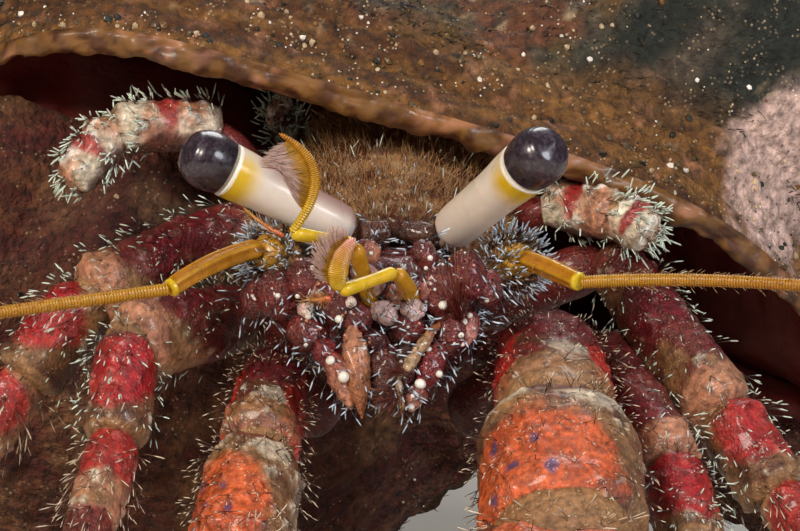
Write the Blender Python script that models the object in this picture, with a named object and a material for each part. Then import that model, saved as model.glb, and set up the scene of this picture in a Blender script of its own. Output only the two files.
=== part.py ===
"""Hermit crab looking out of a sea snail's shell, as closed solids in metres with +Z up.

The crab faces -Y and its left side is at +X.  Lengths below are millimetres on the living
animal; PLACE moves the finished model so that its origin is the middle of its footprint.
Run with: blender --background --python part.py
"""

import math
from dataclasses import dataclass

import bmesh
import bpy
from mathutils import Vector

MM = 0.001
PLACE = Vector((1.94, -8.3, 0.0))  # from the crab's own axes to the middle of the footprint
GAP = 0.05  # clearance between two pieces that touch
UP = Vector((0.0, 0.0, 1.0))
TOE_LENGTH = 0.4  # length of the flat under each tip that touches the floor
TOE_HEIGHT = 0.04  # height of the middle of a walking leg's tip
LEFT, RIGHT = 1, -1
SIDE_NAMES = {LEFT: "left", RIGHT: "right"}

# Body: a tilted axis that starts at the rostrum and climbs towards the shell.
ROSTRUM = Vector((0.0, 3.4, 23.8))
BODY_PITCH = math.radians(20.0)
SHIELD_LENGTH = 12.6
SHIELD_THICKNESS = 0.7
SHIELD_HALF_SPAN = math.radians(72.0)  # how far round the back the shield reaches
BODY_LENGTH = 17.0
BODY_AXIS_DEPTH = 4.6

# Shell: one growth spiral, in the shell's own axes.
WHORL_RATIO = 1.7  # how much one full turn enlarges the shell
LIP_RADIUS = 23.0
SHELL_LENGTH = 70.0
SUTURE = 16.0  # distance from the apex to the lip's rear corner, along the axis
SHELL_DIP = math.radians(16.0)  # how far the front end points down
LIP_LEAN = math.radians(50.0)  # how far the lip leans over the crab
LIP_MIDDLE = Vector((0.2, 7.0, 28.5))
LIP_MIDDLE_SHARE = 0.40
LIP_WALL = 1.5
CALLUS = 0.7
COLUMELLA_RADIUS = 3.4
PILLAR_BLEND = 4  # how softly a whorl runs into the pillar it winds round
CAVITY_TURN = math.radians(250.0)
LIP_PEAK = 0.3  # share of the lip's length at which it stands furthest from the axis
CANAL_START = 0.9
CANAL_WIDTH = 0.3
CANAL_END = 0.16
NEXT_TURN = (WHORL_RATIO - 1.0) * SUTURE / (SHELL_LENGTH - SUTURE)
NEXT_RISE = 1.0 - (1.0 - NEXT_TURN / LIP_PEAK) ** 4
LIP_CORNER = NEXT_RISE / (WHORL_RATIO - 1.0 + NEXT_RISE)  # so that the whorls join


# ----------------------------------------------------------------------------- mesh helpers
def collection(name):
    """Return a new collection linked to the scene."""
    made = bpy.data.collections.new(name)
    bpy.context.scene.collection.children.link(made)
    return made


def material(name, colour, roughness=0.5, metallic=0.0):
    """Make a Principled material with one colour."""
    made = bpy.data.materials.new(name)
    made.use_nodes = True
    principled = made.node_tree.nodes["Principled BSDF"]
    principled.inputs["Base Color"].default_value = (*colour, 1.0)
    principled.inputs["Roughness"].default_value = roughness
    principled.inputs["Metallic"].default_value = metallic
    made.diffuse_color = (*colour, 1.0)
    return made


def loft(rings, floor=False):
    """Join rings of equal length into one closed surface with flat ends, in metres."""
    bm = bmesh.new()
    rows = []
    for ring in rings:
        row = []
        for point in ring:
            placed = (point + PLACE) * MM
            if floor:
                placed.z = max(placed.z, 0.0)
            row.append(bm.verts.new(placed))
        rows.append(row)
    count = len(rows[0])
    for low, high in zip(rows, rows[1:]):
        for i in range(count):
            j = (i + 1) % count
            bm.faces.new((low[i], low[j], high[j], high[i]))
    bm.faces.new(rows[0][::-1])
    bm.faces.new(rows[-1])
    bmesh.ops.recalc_face_normals(bm, faces=bm.faces)
    return bm


def add(name, bm, finish, group):
    """Turn a bmesh into a named object with one material."""
    mesh = bpy.data.meshes.new(name)
    bm.to_mesh(mesh)
    bm.free()
    made = bpy.data.objects.new(name, mesh)
    made.data.materials.append(finish)
    made.data.shade_smooth()
    made.data.set_sharp_from_angle(angle=math.radians(40.0))
    group.objects.link(made)
    return made


def cut(target, cutter):
    """Subtract a cutter from an object."""
    cutter.hide_render = True
    cutter.display_type = "WIRE"
    modifier = target.modifiers.new(cutter.name, "BOOLEAN")
    modifier.operation = "DIFFERENCE"
    modifier.solver = "EXACT"
    modifier.object = cutter


def superellipse(angle, wide, tall, power=2.3):
    """Point of a rounded section; angle 0 is along the width."""
    c, s = math.cos(angle), math.sin(angle)
    x = math.copysign(abs(c) ** (2.0 / power), c) * wide
    y = math.copysign(abs(s) ** (2.0 / power), s) * tall
    return x, y


# ----------------------------------------------------------------------------- limb sections
@dataclass(frozen=True)
class Station:
    """One cross-section of a limb segment: where it is, and its half width and half height."""

    share: float
    wide: float
    tall: float


PROFILES = {
    "root": (Station(0.0, 0.85, 0.85), Station(0.5, 0.9, 0.9), Station(1.0, 0.9, 0.9)),
    "merus": (
        Station(0.0, 0.80, 0.80),
        Station(0.2, 0.92, 0.95),
        Station(0.55, 1.0, 1.05),
        Station(0.88, 1.0, 1.05),
        Station(1.0, 0.84, 0.86),
    ),
    "carpus": (
        Station(0.0, 0.84, 0.86),
        Station(0.16, 1.0, 1.05),
        Station(0.6, 1.06, 1.1),
        Station(0.9, 1.0, 1.05),
        Station(1.0, 0.84, 0.86),
    ),
    "propodus": (
        Station(0.0, 0.9, 0.9),
        Station(0.15, 1.02, 1.05),
        Station(0.6, 0.92, 0.95),
        Station(1.0, 0.76, 0.76),
    ),
    "dactyl": (
        Station(0.0, 1.0, 1.0),
        Station(0.2, 0.98, 0.98),
        Station(0.45, 0.82, 0.82),
        Station(0.7, 0.6, 0.6),
        Station(0.88, 0.42, 0.42),
        Station(1.0, 0.31, 0.31),
    ),
    "palm": (
        Station(0.0, 0.66, 0.8),
        Station(0.14, 0.92, 1.0),
        Station(0.5, 1.06, 1.08),
        Station(0.85, 1.0, 0.95),
        Station(1.0, 0.86, 0.82),
    ),
}


def mitre(before, after):
    """Normal of the plane where two straight runs meet."""
    return (before.normalized() + after.normalized()).normalized()


def section(centre, along, wide, tall, sides, power=2.0, across=None, shear=lambda offset: 0.0):
    """One ring round a straight run; across is its width's direction, sideways if not given."""
    side = along.cross(UP) if across is None else across - along * across.dot(along)
    side.normalize()
    crest = side.cross(along).normalized()
    ring = []
    for i in range(sides):
        x, y = superellipse(2.0 * math.pi * (i + 0.5) / sides, wide, tall, power)
        point = centre + side * x + crest * y
        ring.append(point + along * shear(side * x + crest * y))
    return ring


def run_rings(start, end, stations, girth, start_plane, end_plane, sides, power=2.3, sag=0.0):
    """Rings of one segment from start to end, whose end rings lie in the given planes."""
    run = end - start
    along = run.normalized()

    def slope(plane):
        return lambda offset: -offset.dot(plane) / along.dot(plane)

    rings = []
    for station in stations:
        near = max(0.0, 1.0 - station.share / 0.5) ** 2
        far = max(0.0, (station.share - 0.5) / 0.5) ** 2
        first, last = slope(start_plane), slope(end_plane)
        shift = (GAP / 2.0) * (1.0 - 2.0 * station.share)
        centre = start + run * station.share + along * shift
        centre = centre + UP * (sag * math.sin(math.pi * station.share))
        wide, tall = girth[0] * station.wide, girth[1] * station.tall
        rings.append(
            section(
                centre,
                along,
                wide,
                tall,
                sides,
                power,
                shear=lambda offset, n=near, f=far: n * first(offset) + f * last(offset),
            )
        )
    return rings


def toe_ring(ring, run):
    """Copy of a tip's last ring, moved level with the floor so that the tip rests on a flat."""
    level = Vector((run.x, run.y, 0.0)).normalized() * TOE_LENGTH
    return [point + level for point in ring]


@dataclass(frozen=True)
class Limb:
    """A jointed limb: its joints from the body outward, and the girth of each segment."""

    name: str
    joints: tuple
    segments: tuple
    girths: tuple
    shade: str
    sides: int = 10
    on_floor: bool = True
    fused: bool = False  # one solid instead of one for each segment

    def planes(self):
        """Plane normals at every joint; the free ends are cut square."""
        points = [Vector(j) for j in self.joints]
        runs = [b - a for a, b in zip(points, points[1:])]
        inner = [mitre(a, b) for a, b in zip(runs, runs[1:])]
        return [runs[0].normalized(), *inner, runs[-1].normalized()]

    def root_rings(self, grow=0.0, reach=0.0):
        """Rings of the first, short run that enters the body."""
        points = [Vector(j) for j in self.joints]
        planes = self.planes()
        start = points[0] - (points[1] - points[0]).normalized() * reach
        wide, tall = self.girths[0]
        return run_rings(
            start,
            points[1],
            PROFILES["root"],
            (wide + grow, tall + grow),
            planes[0],
            planes[1],
            self.sides,
        )

    def solids(self):
        """Yield the name and bmesh of every segment."""
        points = [Vector(j) for j in self.joints]
        planes = self.planes()
        whole = []
        for index, segment in enumerate(self.segments):
            first = index + 1
            rings = run_rings(
                points[first],
                points[first + 1],
                PROFILES[segment],
                self.girths[index + 1],
                planes[first],
                planes[first + 1],
                self.sides,
                sag=0.9 if segment == "dactyl" else 0.0,
            )
            if index == 0:
                rings = self.root_rings()[:-1] + rings
            if self.on_floor and segment == "dactyl":
                rings.append(toe_ring(rings[-1], points[-1] - points[-2]))
            if not self.fused:
                yield f"{self.name}_{segment}", loft(rings, floor=self.on_floor)
            whole += rings[: len(rings) - (segment != self.segments[-1])]
        if self.fused:
            yield self.name, loft(whole, floor=self.on_floor)


LEG_PARTS = ("merus", "carpus", "propodus", "dactyl")
LEG_GIRTHS = ((1.15, 1.3), (1.3, 1.65), (1.3, 1.5), (1.1, 1.25), (0.85, 0.95))
WALKING_LEGS = (
    Limb(
        "leg_2_right",
        (
            (-4.0, 6.9, 16.4),
            (-7.0, 5.6, 18.6),
            (-11.9, -1.6, 18.8),
            (-12.3, -4.3, 14.9),
            (-13.6, -11.6, 10.2),
            (-15.6, -16.8, TOE_HEIGHT),
        ),
        LEG_PARTS,
        LEG_GIRTHS,
        "leg",
    ),
    Limb(
        "leg_2_left",
        (
            (4.1, 6.9, 16.4),
            (9.7, 6.2, 16.7),
            (12.4, -2.6, 13.2),
            (13.1, -7.2, 10.3),
            (15.3, -14.0, 6.2),
            (17.6, -22.2, TOE_HEIGHT),
        ),
        LEG_PARTS,
        LEG_GIRTHS,
        "leg",
    ),
    Limb(
        "leg_3_right",
        (
            (-4.3, 9.8, 18.2),
            (-7.2, 8.6, 22.3),
            (-14.0, 2.8, 20.0),
            (-16.9, 1.1, 16.6),
            (-22.0, -1.6, 9.6),
            (-26.3, -5.8, TOE_HEIGHT),
        ),
        LEG_PARTS,
        LEG_GIRTHS,
        "leg",
    ),
    Limb(
        "leg_3_left",
        (
            (4.3, 9.8, 18.2),
            (10.2, 8.8, 20.8),
            (15.0, 0.8, 15.0),
            (17.2, -1.8, 11.9),
            (21.9, -6.9, 6.6),
            (26.5, -13.0, TOE_HEIGHT),
        ),
        LEG_PARTS,
        LEG_GIRTHS,
        "leg",
    ),
)
CHELIPEDS = (
    Limb(
        "cheliped_right",
        (
            (-3.2, 4.4, 13.9),
            (-5.5, 3.6, 16.2),
            (-6.1, -3.6, 14.0),
            (-6.8, -8.3, 10.4),
            (-5.6, -14.4, 5.9),
        ),
        ("merus", "carpus", "palm"),
        ((1.3, 1.3), (1.6, 2.0), (2.0, 2.1), (2.5, 2.0)),
        "claw",
        sides=12,
    ),
    Limb(
        "cheliped_left",
        (
            (3.3, 4.4, 13.9),
            (7.0, 3.4, 17.4),
            (7.1, -4.7, 15.7),
            (7.1, -11.4, 11.9),
            (5.8, -19.0, 6.6),
        ),
        ("merus", "carpus", "palm"),
        ((1.5, 1.5), (2.5, 2.6), (3.3, 3.1), (3.8, 2.9)),
        "claw",
        sides=12,
    ),
)
FINGERTIPS = {RIGHT: Vector((-4.0, -20.0, 0.2)), LEFT: Vector((3.7, -26.0, 0.3))}
REAR_LEGS = (
    Limb(
        "leg_4_right",
        ((-4.4, 12.4, 20.8), (-8.6, 10.4, 27.0), (-13.3, 9.0, 27.0), (-15.2, 7.6, 24.6)),
        ("merus", "propodus"),
        ((0.9, 0.9), (1.15, 1.2), (1.1, 1.1)),
        "rear",
        on_floor=False,
        fused=True,
    ),
    Limb(
        "leg_4_left",
        ((4.4, 12.4, 20.8), (7.4, 9.4, 23.3), (10.4, 7.0, 23.2), (12.0, 6.0, 22.3)),
        ("merus", "propodus"),
        ((0.9, 0.9), (1.15, 1.2), (1.1, 1.1)),
        "rear",
        on_floor=False,
        fused=True,
    ),
    Limb(
        "leg_5_right",
        ((-3.2, 15.6, 22.6), (-4.9, 17.4, 24.2), (-5.7, 17.2, 26.2), (-5.7, 16.2, 27.3)),
        ("merus", "propodus"),
        ((0.6, 0.6), (0.6, 0.6), (0.55, 0.55)),
        "rear",
        sides=8,
        on_floor=False,
        fused=True,
    ),
    Limb(
        "leg_5_left",
        ((3.2, 15.6, 22.6), (4.9, 17.4, 24.2), (5.7, 17.2, 26.0), (5.7, 16.2, 27.0)),
        ("merus", "propodus"),
        ((0.6, 0.6), (0.6, 0.6), (0.55, 0.55)),
        "rear",
        sides=8,
        on_floor=False,
        fused=True,
    ),
)


# ----------------------------------------------------------------------------- body
def body_point(along, side, down):
    """Point in the body's own axes: along from the rostrum, side, and down from its back."""
    axis = Vector((0.0, math.cos(BODY_PITCH), math.sin(BODY_PITCH)))
    normal = Vector((0.0, -math.sin(BODY_PITCH), math.cos(BODY_PITCH)))
    return ROSTRUM + axis * along + Vector((side, 0.0, 0.0)) - normal * down


def body_outline(along, angle, inset=0.0):
    """Outline of the body at a distance from the rostrum; angle 0 is the mid-line on top."""
    share = along / BODY_LENGTH
    wide = 4.2 + 1.6 * math.sin(math.pi * min(1.0, share * 1.15 + 0.05)) - 0.9 * share
    top = 3.9 + 0.7 * math.sin(math.pi * share)
    bottom = 5.8 - 2.4 * share
    tall = top if math.cos(angle) > 0.0 else bottom
    waist = 1.0 - 0.3 * max(0.0, -math.cos(angle))
    x = math.sin(angle) * (wide * waist - inset)
    y = math.cos(angle) * (tall - inset)
    return body_point(along, x, BODY_AXIS_DEPTH - y)


def shield():
    """Hard plate over the front of the back."""
    stations = (0.0, 0.9, 2.6, 5.2, 8.2, 11.0, SHIELD_LENGTH)
    steps = 10
    rings = []
    for along in stations:
        outer, inner = [], []
        for i in range(steps + 1):
            angle = SHIELD_HALF_SPAN * (2.0 * i / steps - 1.0)
            front = 1.0 - 0.35 * max(0.0, 1.0 - along / 0.9) if along < 0.9 else 1.0
            outer.append(body_outline(along + (1.0 - math.cos(angle)) * 0.8, angle * front))
            inner.append(
                body_outline(along + (1.0 - math.cos(angle)) * 0.8, angle * front, SHIELD_THICKNESS)
            )
        rings.append(outer + inner[::-1])
    return loft(rings)


def cephalothorax():
    """Body behind the face, with a step that the shield sits in."""
    rings = []
    sides = 28
    for along in (1.2, 2.6, 5.2, 8.2, 11.0, SHIELD_LENGTH + 1.2, 15.5, BODY_LENGTH):
        ring = []
        for i in range(sides):
            angle = 2.0 * math.pi * (i + 0.5) / sides
            turned = math.atan2(math.sin(angle), math.cos(angle))
            covered = abs(turned) < SHIELD_HALF_SPAN + 0.12 and along <= SHIELD_LENGTH + 1.2
            inset = SHIELD_THICKNESS + 2.0 * GAP if covered else 0.0
            ring.append(body_outline(along, turned, inset))
        rings.append(ring)
    return loft(rings)


def tapered_tube(points, radii, sides, flat=1.0, faces=(None, None), across=None, floor=False):
    """Closed tube through points with a radius at each; flat squeezes its height.

    faces holds the directions that the two ends face, where they meet a neighbour.
    """
    path = [Vector(p) for p in points]
    last = len(path) - 1
    rings = []
    for i, centre in enumerate(path):
        along = (path[min(i + 1, last)] - path[max(i - 1, 0)]).normalized()
        if i == 0 and faces[0] is not None:
            along = faces[0]
            centre = centre + along * (GAP / 2.0)
        if i == last and faces[1] is not None:
            along = faces[1]
            centre = centre - along * (GAP / 2.0)
        rings.append(section(centre, along, radii[i], radii[i] * flat, sides, across=across))
    return loft(rings, floor=floor)


def along_curve(start, bend, end, steps):
    """Evenly spaced points of a quadratic curve."""
    start, bend, end = Vector(start), Vector(bend), Vector(end)
    points = []
    for i in range(steps + 1):
        t = i / steps
        points.append(start * (1 - t) ** 2 + bend * (2 * t * (1 - t)) + end * t**2)
    return points


# ----------------------------------------------------------------------------- head
EYE_BASES = {RIGHT: Vector((-1.95, 1.75, 23.25)), LEFT: Vector((2.35, 1.75, 23.15))}
EYE_TIPS = {RIGHT: Vector((-8.35, -0.36, 26.85)), LEFT: Vector((6.28, -2.72, 27.32))}
STALK_BASE_RADIUS = 1.0
STALK_NECK_RADIUS = 1.24
CORNEA_RADIUS = 1.34
CORNEA_BACK = 0.95  # how far the cornea reaches back from its widest place


def eyestalk(side):
    """Pale stalk from its rounded base to the rear edge of the cornea."""
    base, tip = EYE_BASES[side], EYE_TIPS[side]
    run = tip - base
    along = run.normalized()
    length = run.length - CORNEA_BACK - GAP
    shares = (0.0, 0.04, 0.12, 0.35, 0.7, 0.93, 1.0)
    radii = (0.45, 0.82, STALK_BASE_RADIUS, 1.05, 1.12, STALK_NECK_RADIUS, STALK_NECK_RADIUS)
    return tapered_tube([base + along * (length * s) for s in shares], radii, 14)


def cornea(side):
    """Eye at the end of its stalk: a long dome, cut square at the back."""
    base, tip = EYE_BASES[side], EYE_TIPS[side]
    along = (tip - base).normalized()
    rings = 7
    points, radii = [], []
    for i in range(rings):
        turn = math.radians(-45.0 + 130.0 * i / (rings - 1))
        reach = CORNEA_BACK / math.sin(math.radians(45.0)) if turn < 0.0 else CORNEA_RADIUS
        points.append(tip + along * (math.sin(turn) * reach))
        radii.append(max(0.12, CORNEA_RADIUS * math.cos(turn) ** (0.25 if turn < 0.0 else 1.0)))
    return tapered_tube(points, radii, 14)


@dataclass(frozen=True)
class Piece:
    """A curved piece of a feeler: where it bends and ends, its radii and its squeeze."""

    name: str
    bend: tuple
    end: tuple
    radii: tuple
    steps: int = 3
    sides: int = 8
    flat: float = 1.0


FEELERS = {
    "antennule_right": (
        (-0.9, -1.2, 19.9),
        (
            Piece("base", (-1.35, -2.4, 21.6), (-1.72, -3.42, 23.55), (0.36, 0.40, 0.34)),
            Piece("last", (-3.1, -4.2, 23.95), (-4.5, -4.9, 24.3), (0.30, 0.29, 0.33)),
            Piece("fan", (-2.2, -5.2, 27.2), (-5.0, -5.2, 28.7), (0.28, 0.95, 0.26), 7, 8, 0.35),
        ),
    ),
    "antennule_left": (
        (0.9, -1.2, 20.0),
        (
            Piece("base", (0.75, -2.6, 21.4), (0.05, -3.72, 22.38), (0.36, 0.40, 0.34)),
            Piece("last", (-1.15, -4.7, 22.1), (-2.4, -5.6, 21.85), (0.30, 0.29, 0.33)),
            Piece("fan", (-2.75, -6.0, 23.2), (-1.7, -5.6, 24.2), (0.28, 0.5, 0.26), 5, 8, 0.5),
        ),
    ),
    "antenna_right": (
        (-4.7, 1.9, 21.9),
        (
            Piece("base", (-5.4, 1.0, 22.2), (-6.0, 0.1, 22.8), (1.0, 1.0, 0.6)),
            Piece("stem", (-8.0, -1.3, 22.6), (-9.95, -3.15, 21.5), (0.46, 0.47, 0.4)),
            Piece("whip", (-24.0, -8.0, 20.4), (-33.0, -20.0, 21.0), (0.31, 0.29, 0.26), 16, 6),
        ),
    ),
    "antenna_left": (
        (4.7, 1.9, 21.6),
        (
            Piece("base", (5.3, 1.0, 21.9), (5.8, 0.15, 22.3), (1.0, 1.0, 0.6)),
            Piece("stem", (6.9, -1.5, 22.2), (8.16, -3.15, 21.8), (0.46, 0.47, 0.4)),
            Piece("whip", (19.0, -4.5, 22.8), (36.0, -14.0, 20.5), (0.31, 0.29, 0.26), 16, 6),
        ),
    ),
}
THREADS = {
    "antennule_right_thread": ((-4.8, -5.15, 24.2), (-5.7, -5.0, 24.6), (-6.6, -4.7, 25.4)),
    "antennule_left_thread": ((-2.75, -5.85, 21.6), (-3.3, -6.0, 21.5), (-4.0, -6.0, 21.55)),
}
THREAD_RADIUS = 0.26


def spread(radii, share):
    """Radius at a share of a piece, through its start, middle and end radii."""
    first, middle, last = radii
    handle = 2.0 * middle - 0.5 * (first + last)
    return first * (1 - share) ** 2 + handle * 2 * share * (1 - share) + last * share**2


def feeler(start, pieces):
    """Yield the name and bmesh of each piece of a feeler; neighbours meet face to face."""
    starts = [Vector(start)] + [Vector(piece.end) for piece in pieces]
    bends = [Vector(piece.bend) for piece in pieces]
    faces = [(bends[0] - starts[0]).normalized()]
    for i in range(1, len(pieces)):
        faces.append(mitre(starts[i] - bends[i - 1], bends[i] - starts[i]))
    faces.append((starts[-1] - bends[-1]).normalized())
    for i, piece in enumerate(pieces):
        points = along_curve(starts[i], bends[i], starts[i + 1], piece.steps)
        radii = [spread(piece.radii, j / piece.steps) for j in range(piece.steps + 1)]
        ends = (faces[i], faces[i + 1])
        yield piece.name, tapered_tube(points, radii, piece.sides, piece.flat, ends)


def face():
    """Mouth frame below the eyes: upper lip, jaws and cheeks as one solid."""
    rings = []
    sides = 16
    stations = (
        (-0.5, 20.2, 2.0, 1.6),
        (0.1, 20.0, 2.9, 2.5),
        (1.0, 19.6, 3.5, 3.1),
        (2.2, 19.2, 3.8, 3.5),
        (3.3, 19.0, 3.8, 3.6),
    )
    for y, z, wide, tall in stations:
        ring = []
        for i in range(sides):
            x, up = superellipse(2.0 * math.pi * (i + 0.5) / sides, wide, tall, 2.2)
            lean = -math.tan(BODY_PITCH) * up
            ring.append(Vector((x, y + lean, z + up)))
        rings.append(ring)
    return loft(rings)


EYE_ROOTS = {
    RIGHT: ((-0.35, 2.6, 23.0), (-1.0, 2.2, 23.15), (-1.62, 1.9, 23.2)),
    LEFT: ((0.35, 2.6, 23.0), (1.1, 2.2, 23.1), (1.98, 1.95, 23.1)),
}

MAXILLIPEDS = {
    RIGHT: {
        "arm": ((-2.9, -0.6, 17.2), (-3.4, -2.4, 17.6), (-2.3, -4.2, 15.6)),
        "blade": ((-2.0, -2.6, 18.9), (-1.6, -4.2, 18.2), (-1.55, -5.2, 15.2)),
    },
    LEFT: {
        "arm": ((2.9, -0.6, 17.2), (3.4, -2.4, 17.6), (2.3, -4.2, 15.6)),
        "blade": ((1.9, -2.6, 18.9), (1.2, -4.2, 18.2), (0.3, -5.0, 15.6)),
    },
}


def maxilliped(side, part):
    """One half of an outer jaw foot."""
    start, bend, end = MAXILLIPEDS[side][part]
    radii = {"arm": (0.75, 0.8, 0.7, 0.55, 0.4), "blade": (0.4, 0.5, 0.5, 0.38, 0.26)}[part]
    flat = {"arm": 1.0, "blade": 0.6}[part]
    return tapered_tube(along_curve(start, bend, end, 4), radii, 8, flat)


# ----------------------------------------------------------------------------- claws
FINGER_CLEARANCE = 0.3


def claw_fingers(limb, side):
    """Yield the fixed and the moving finger beyond a palm."""
    palm_end = Vector(limb.joints[-1])
    before = Vector(limb.joints[-2])
    tip = FINGERTIPS[side]
    along = (palm_end - before).normalized()
    across = along.cross(UP).normalized() * side
    wide, tall = limb.girths[-1]
    for name, place in (("fixed_finger", -0.45), ("moving_finger", 0.45)):
        base = palm_end + across * (place * wide) + along * FINGER_CLEARANCE
        end = tip + across * (place * 0.5 * wide)
        bulge = across * (place * 0.9 * wide) * 0.4
        middle = (base + end) / 2.0 + bulge + UP * 0.35
        level = Vector((along.x, along.y, 0.0)).normalized() * TOE_LENGTH
        points = along_curve(base, middle, end, 4) + [end + level]
        start_radius = 0.39 * wide
        radii = [start_radius * s for s in (1.0, 0.98, 0.85, 0.62, 0.35, 0.28)]
        flat = min(1.0, 0.8 * tall / start_radius)
        yield name, tapered_tube(points, radii, 8, flat, floor=True)


# ----------------------------------------------------------------------------- shell
def shell_axes():
    """Apex, axis towards the front end, direction of the lip, and direction of growth."""
    axis = Vector((math.cos(SHELL_DIP), 0.0, -math.sin(SHELL_DIP)))
    upward = Vector((math.sin(SHELL_DIP), 0.0, math.cos(SHELL_DIP)))
    lip = upward * math.cos(LIP_LEAN) + Vector((0.0, -1.0, 0.0)) * math.sin(LIP_LEAN)
    growth = axis.cross(lip)
    middle = SUTURE + LIP_MIDDLE_SHARE * (SHELL_LENGTH - SUTURE)
    apex = LIP_MIDDLE - axis * middle - lip * lip_outline(LIP_MIDDLE_SHARE)
    return apex, axis, lip, growth


def lip_outline(share):
    """Distance of the outer lip from the axis, from its rear corner (0) to its front (1)."""
    share = min(max(share, 0.0), 1.0)
    if share < LIP_PEAK:
        rise = 1.0 - (1.0 - share / LIP_PEAK) ** 4
        return LIP_RADIUS * (LIP_CORNER + (1.0 - LIP_CORNER) * rise)
    if share < CANAL_START:
        fall = ((share - LIP_PEAK) / (CANAL_START - LIP_PEAK)) ** 5
        return LIP_RADIUS * (1.0 - (1.0 - CANAL_WIDTH) * fall)
    canal = (share - CANAL_START) / (1.0 - CANAL_START)
    return LIP_RADIUS * (CANAL_WIDTH + (CANAL_END - CANAL_WIDTH) * canal)


def outline(distance):
    """Shell's radius in the plane of the lip, at a distance from the apex."""
    scale = 1.0
    while distance < SUTURE and scale > 0.02:
        distance *= WHORL_RATIO
        scale /= WHORL_RATIO
    return scale * lip_outline((distance - SUTURE) / (SHELL_LENGTH - SUTURE))


def shell_radius(turn, distance):
    """Outer radius at an angle back from the lip, at a distance from the apex."""
    scale = WHORL_RATIO ** (-turn / (2.0 * math.pi))
    grown = scale * outline(distance / scale) if distance < scale * SHELL_LENGTH else 0.0
    pillar = min(COLUMELLA_RADIUS, 0.3 * distance, 1.6 + 0.25 * (SHELL_LENGTH - distance))
    return (grown**PILLAR_BLEND + pillar**PILLAR_BLEND) ** (1.0 / PILLAR_BLEND)


def shell_point(turn, distance, radius):
    """Point of the shell from its angle back from the lip, distance along and radius."""
    apex, axis, lip, growth = shell_axes()
    outward = lip * math.cos(turn) - growth * math.sin(turn)
    return apex + axis * distance + outward * radius


WHORL_NODES = 4
FRONT_NODES = 12
SPIRE_TURNS = 3
TURN_STEPS = 26


def whorl_distances(turn, whorl):
    """Distances from the apex of the nodes of one whorl, whorl 0 being the last."""
    scale = WHORL_RATIO ** (-turn / (2.0 * math.pi) - whorl)
    nodes = []
    for i in range(WHORL_NODES):
        nodes.append(scale * SUTURE * WHORL_RATIO ** (i / WHORL_NODES))
    if whorl == 0:
        first = scale * SUTURE * WHORL_RATIO
        for i in range(FRONT_NODES):
            share = 1.0 - (1.0 - i / (FRONT_NODES - 1)) ** 1.5
            nodes.append(first + (SHELL_LENGTH - first) * share)
    return nodes


def shell_solid():
    """Outer surface of the shell, closed by a flat face across the mouth."""
    bm = bmesh.new()
    apex = bm.verts.new((shell_axes()[0] + PLACE) * MM)

    def vertex(turn, distance):
        point = shell_point(turn, distance, shell_radius(turn, distance))
        return bm.verts.new((point + PLACE) * MM)

    # After a full turn each whorl's nodes are the next older whorl's first nodes, so the last
    # row repeats the first one, moved along by one whorl, as far as the lip's rear corner.
    corner = (SPIRE_TURNS + 1) * WHORL_NODES
    rows = []
    for step in range(TURN_STEPS + 1):
        turn = 2.0 * math.pi * step / TURN_STEPS
        row = []
        for whorl in range(SPIRE_TURNS, -1, -1):
            for distance in whorl_distances(turn, whorl):
                place = len(row)
                if step == TURN_STEPS and WHORL_NODES <= place <= corner:
                    row.append(rows[0][place - WHORL_NODES])
                else:
                    row.append(vertex(turn, distance))
        rows.append(row)
    for low, high in zip(rows, rows[1:]):
        bm.faces.new((apex, low[0], high[0]))
        for j in range(len(low) - 1):
            bm.faces.new((low[j], low[j + 1], high[j + 1], high[j]))
    first, last = rows[0], rows[-1]
    bm.faces.new((apex, *last[: WHORL_NODES + 1]))
    bm.faces.new((*first[corner - WHORL_NODES :], *last[:corner:-1]))
    bm.faces.new([row[-1] for row in rows])
    bmesh.ops.recalc_face_normals(bm, faces=bm.faces)
    return bm


def ground():
    """Block below the floor, which cuts the flat that the shell rests on."""
    half = SHELL_LENGTH
    bm = bmesh.new()
    bmesh.ops.create_cube(bm, size=2.0 * half * MM)
    bmesh.ops.translate(bm, verts=bm.verts, vec=(0.0, 0.0, -half * MM))
    return bm


CAVITY_STEPS = 13
CAVITY_SHARES = (0.05, 0.1, 0.2, 0.34, 0.5, 0.64, 0.76, 0.85, 0.91)


def cavity():
    """Tapering hollow that follows the growth spiral inward from the mouth."""
    rings = []
    start = math.radians(-4.0)
    for step in range(CAVITY_STEPS + 1):
        turn = start + (CAVITY_TURN - start) * step / CAVITY_STEPS
        scale = WHORL_RATIO ** (-turn / (2.0 * math.pi))
        outer, inner = [], []
        for share in CAVITY_SHARES:
            distance = scale * (SUTURE + share * (SHELL_LENGTH - SUTURE))
            older = shell_radius(turn + 2.0 * math.pi, distance)
            outer.append(shell_point(turn, distance, scale * (lip_outline(share) - LIP_WALL)))
            inner.append(shell_point(turn, distance, older + CALLUS))
        rings.append(outer + inner[::-1])
    return loft(rings)


COIL_START = math.radians(54.0)
COIL_END = math.radians(190.0)
TAIL_END = math.radians(208.0)
COIL_SIDES = 12


def coil_point(turn):
    """Middle of the soft hind body at an angle back from the lip."""
    scale = WHORL_RATIO ** (-turn / (2.0 * math.pi))
    settle = min(1.0, (turn - COIL_START) / math.radians(50.0))
    radius = scale * LIP_RADIUS * (0.68 - 0.05 * settle)
    distance = scale * (SHELL_LENGTH * 0.60)
    return shell_point(turn, distance, radius)


def coil_rings(start, end, radii, flat=1.0):
    """Rings of a tube that follows the hollow of the shell between two angles."""
    axis = shell_axes()[1]
    rings = []
    for i, radius in enumerate(radii):
        turn = start + (end - start) * i / (len(radii) - 1)
        along = (coil_point(turn + 0.01) - coil_point(turn - 0.01)).normalized()
        centre = coil_point(turn)
        rings.append(section(centre, along, radius, radius * flat, COIL_SIDES, across=axis))
    return rings


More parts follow.
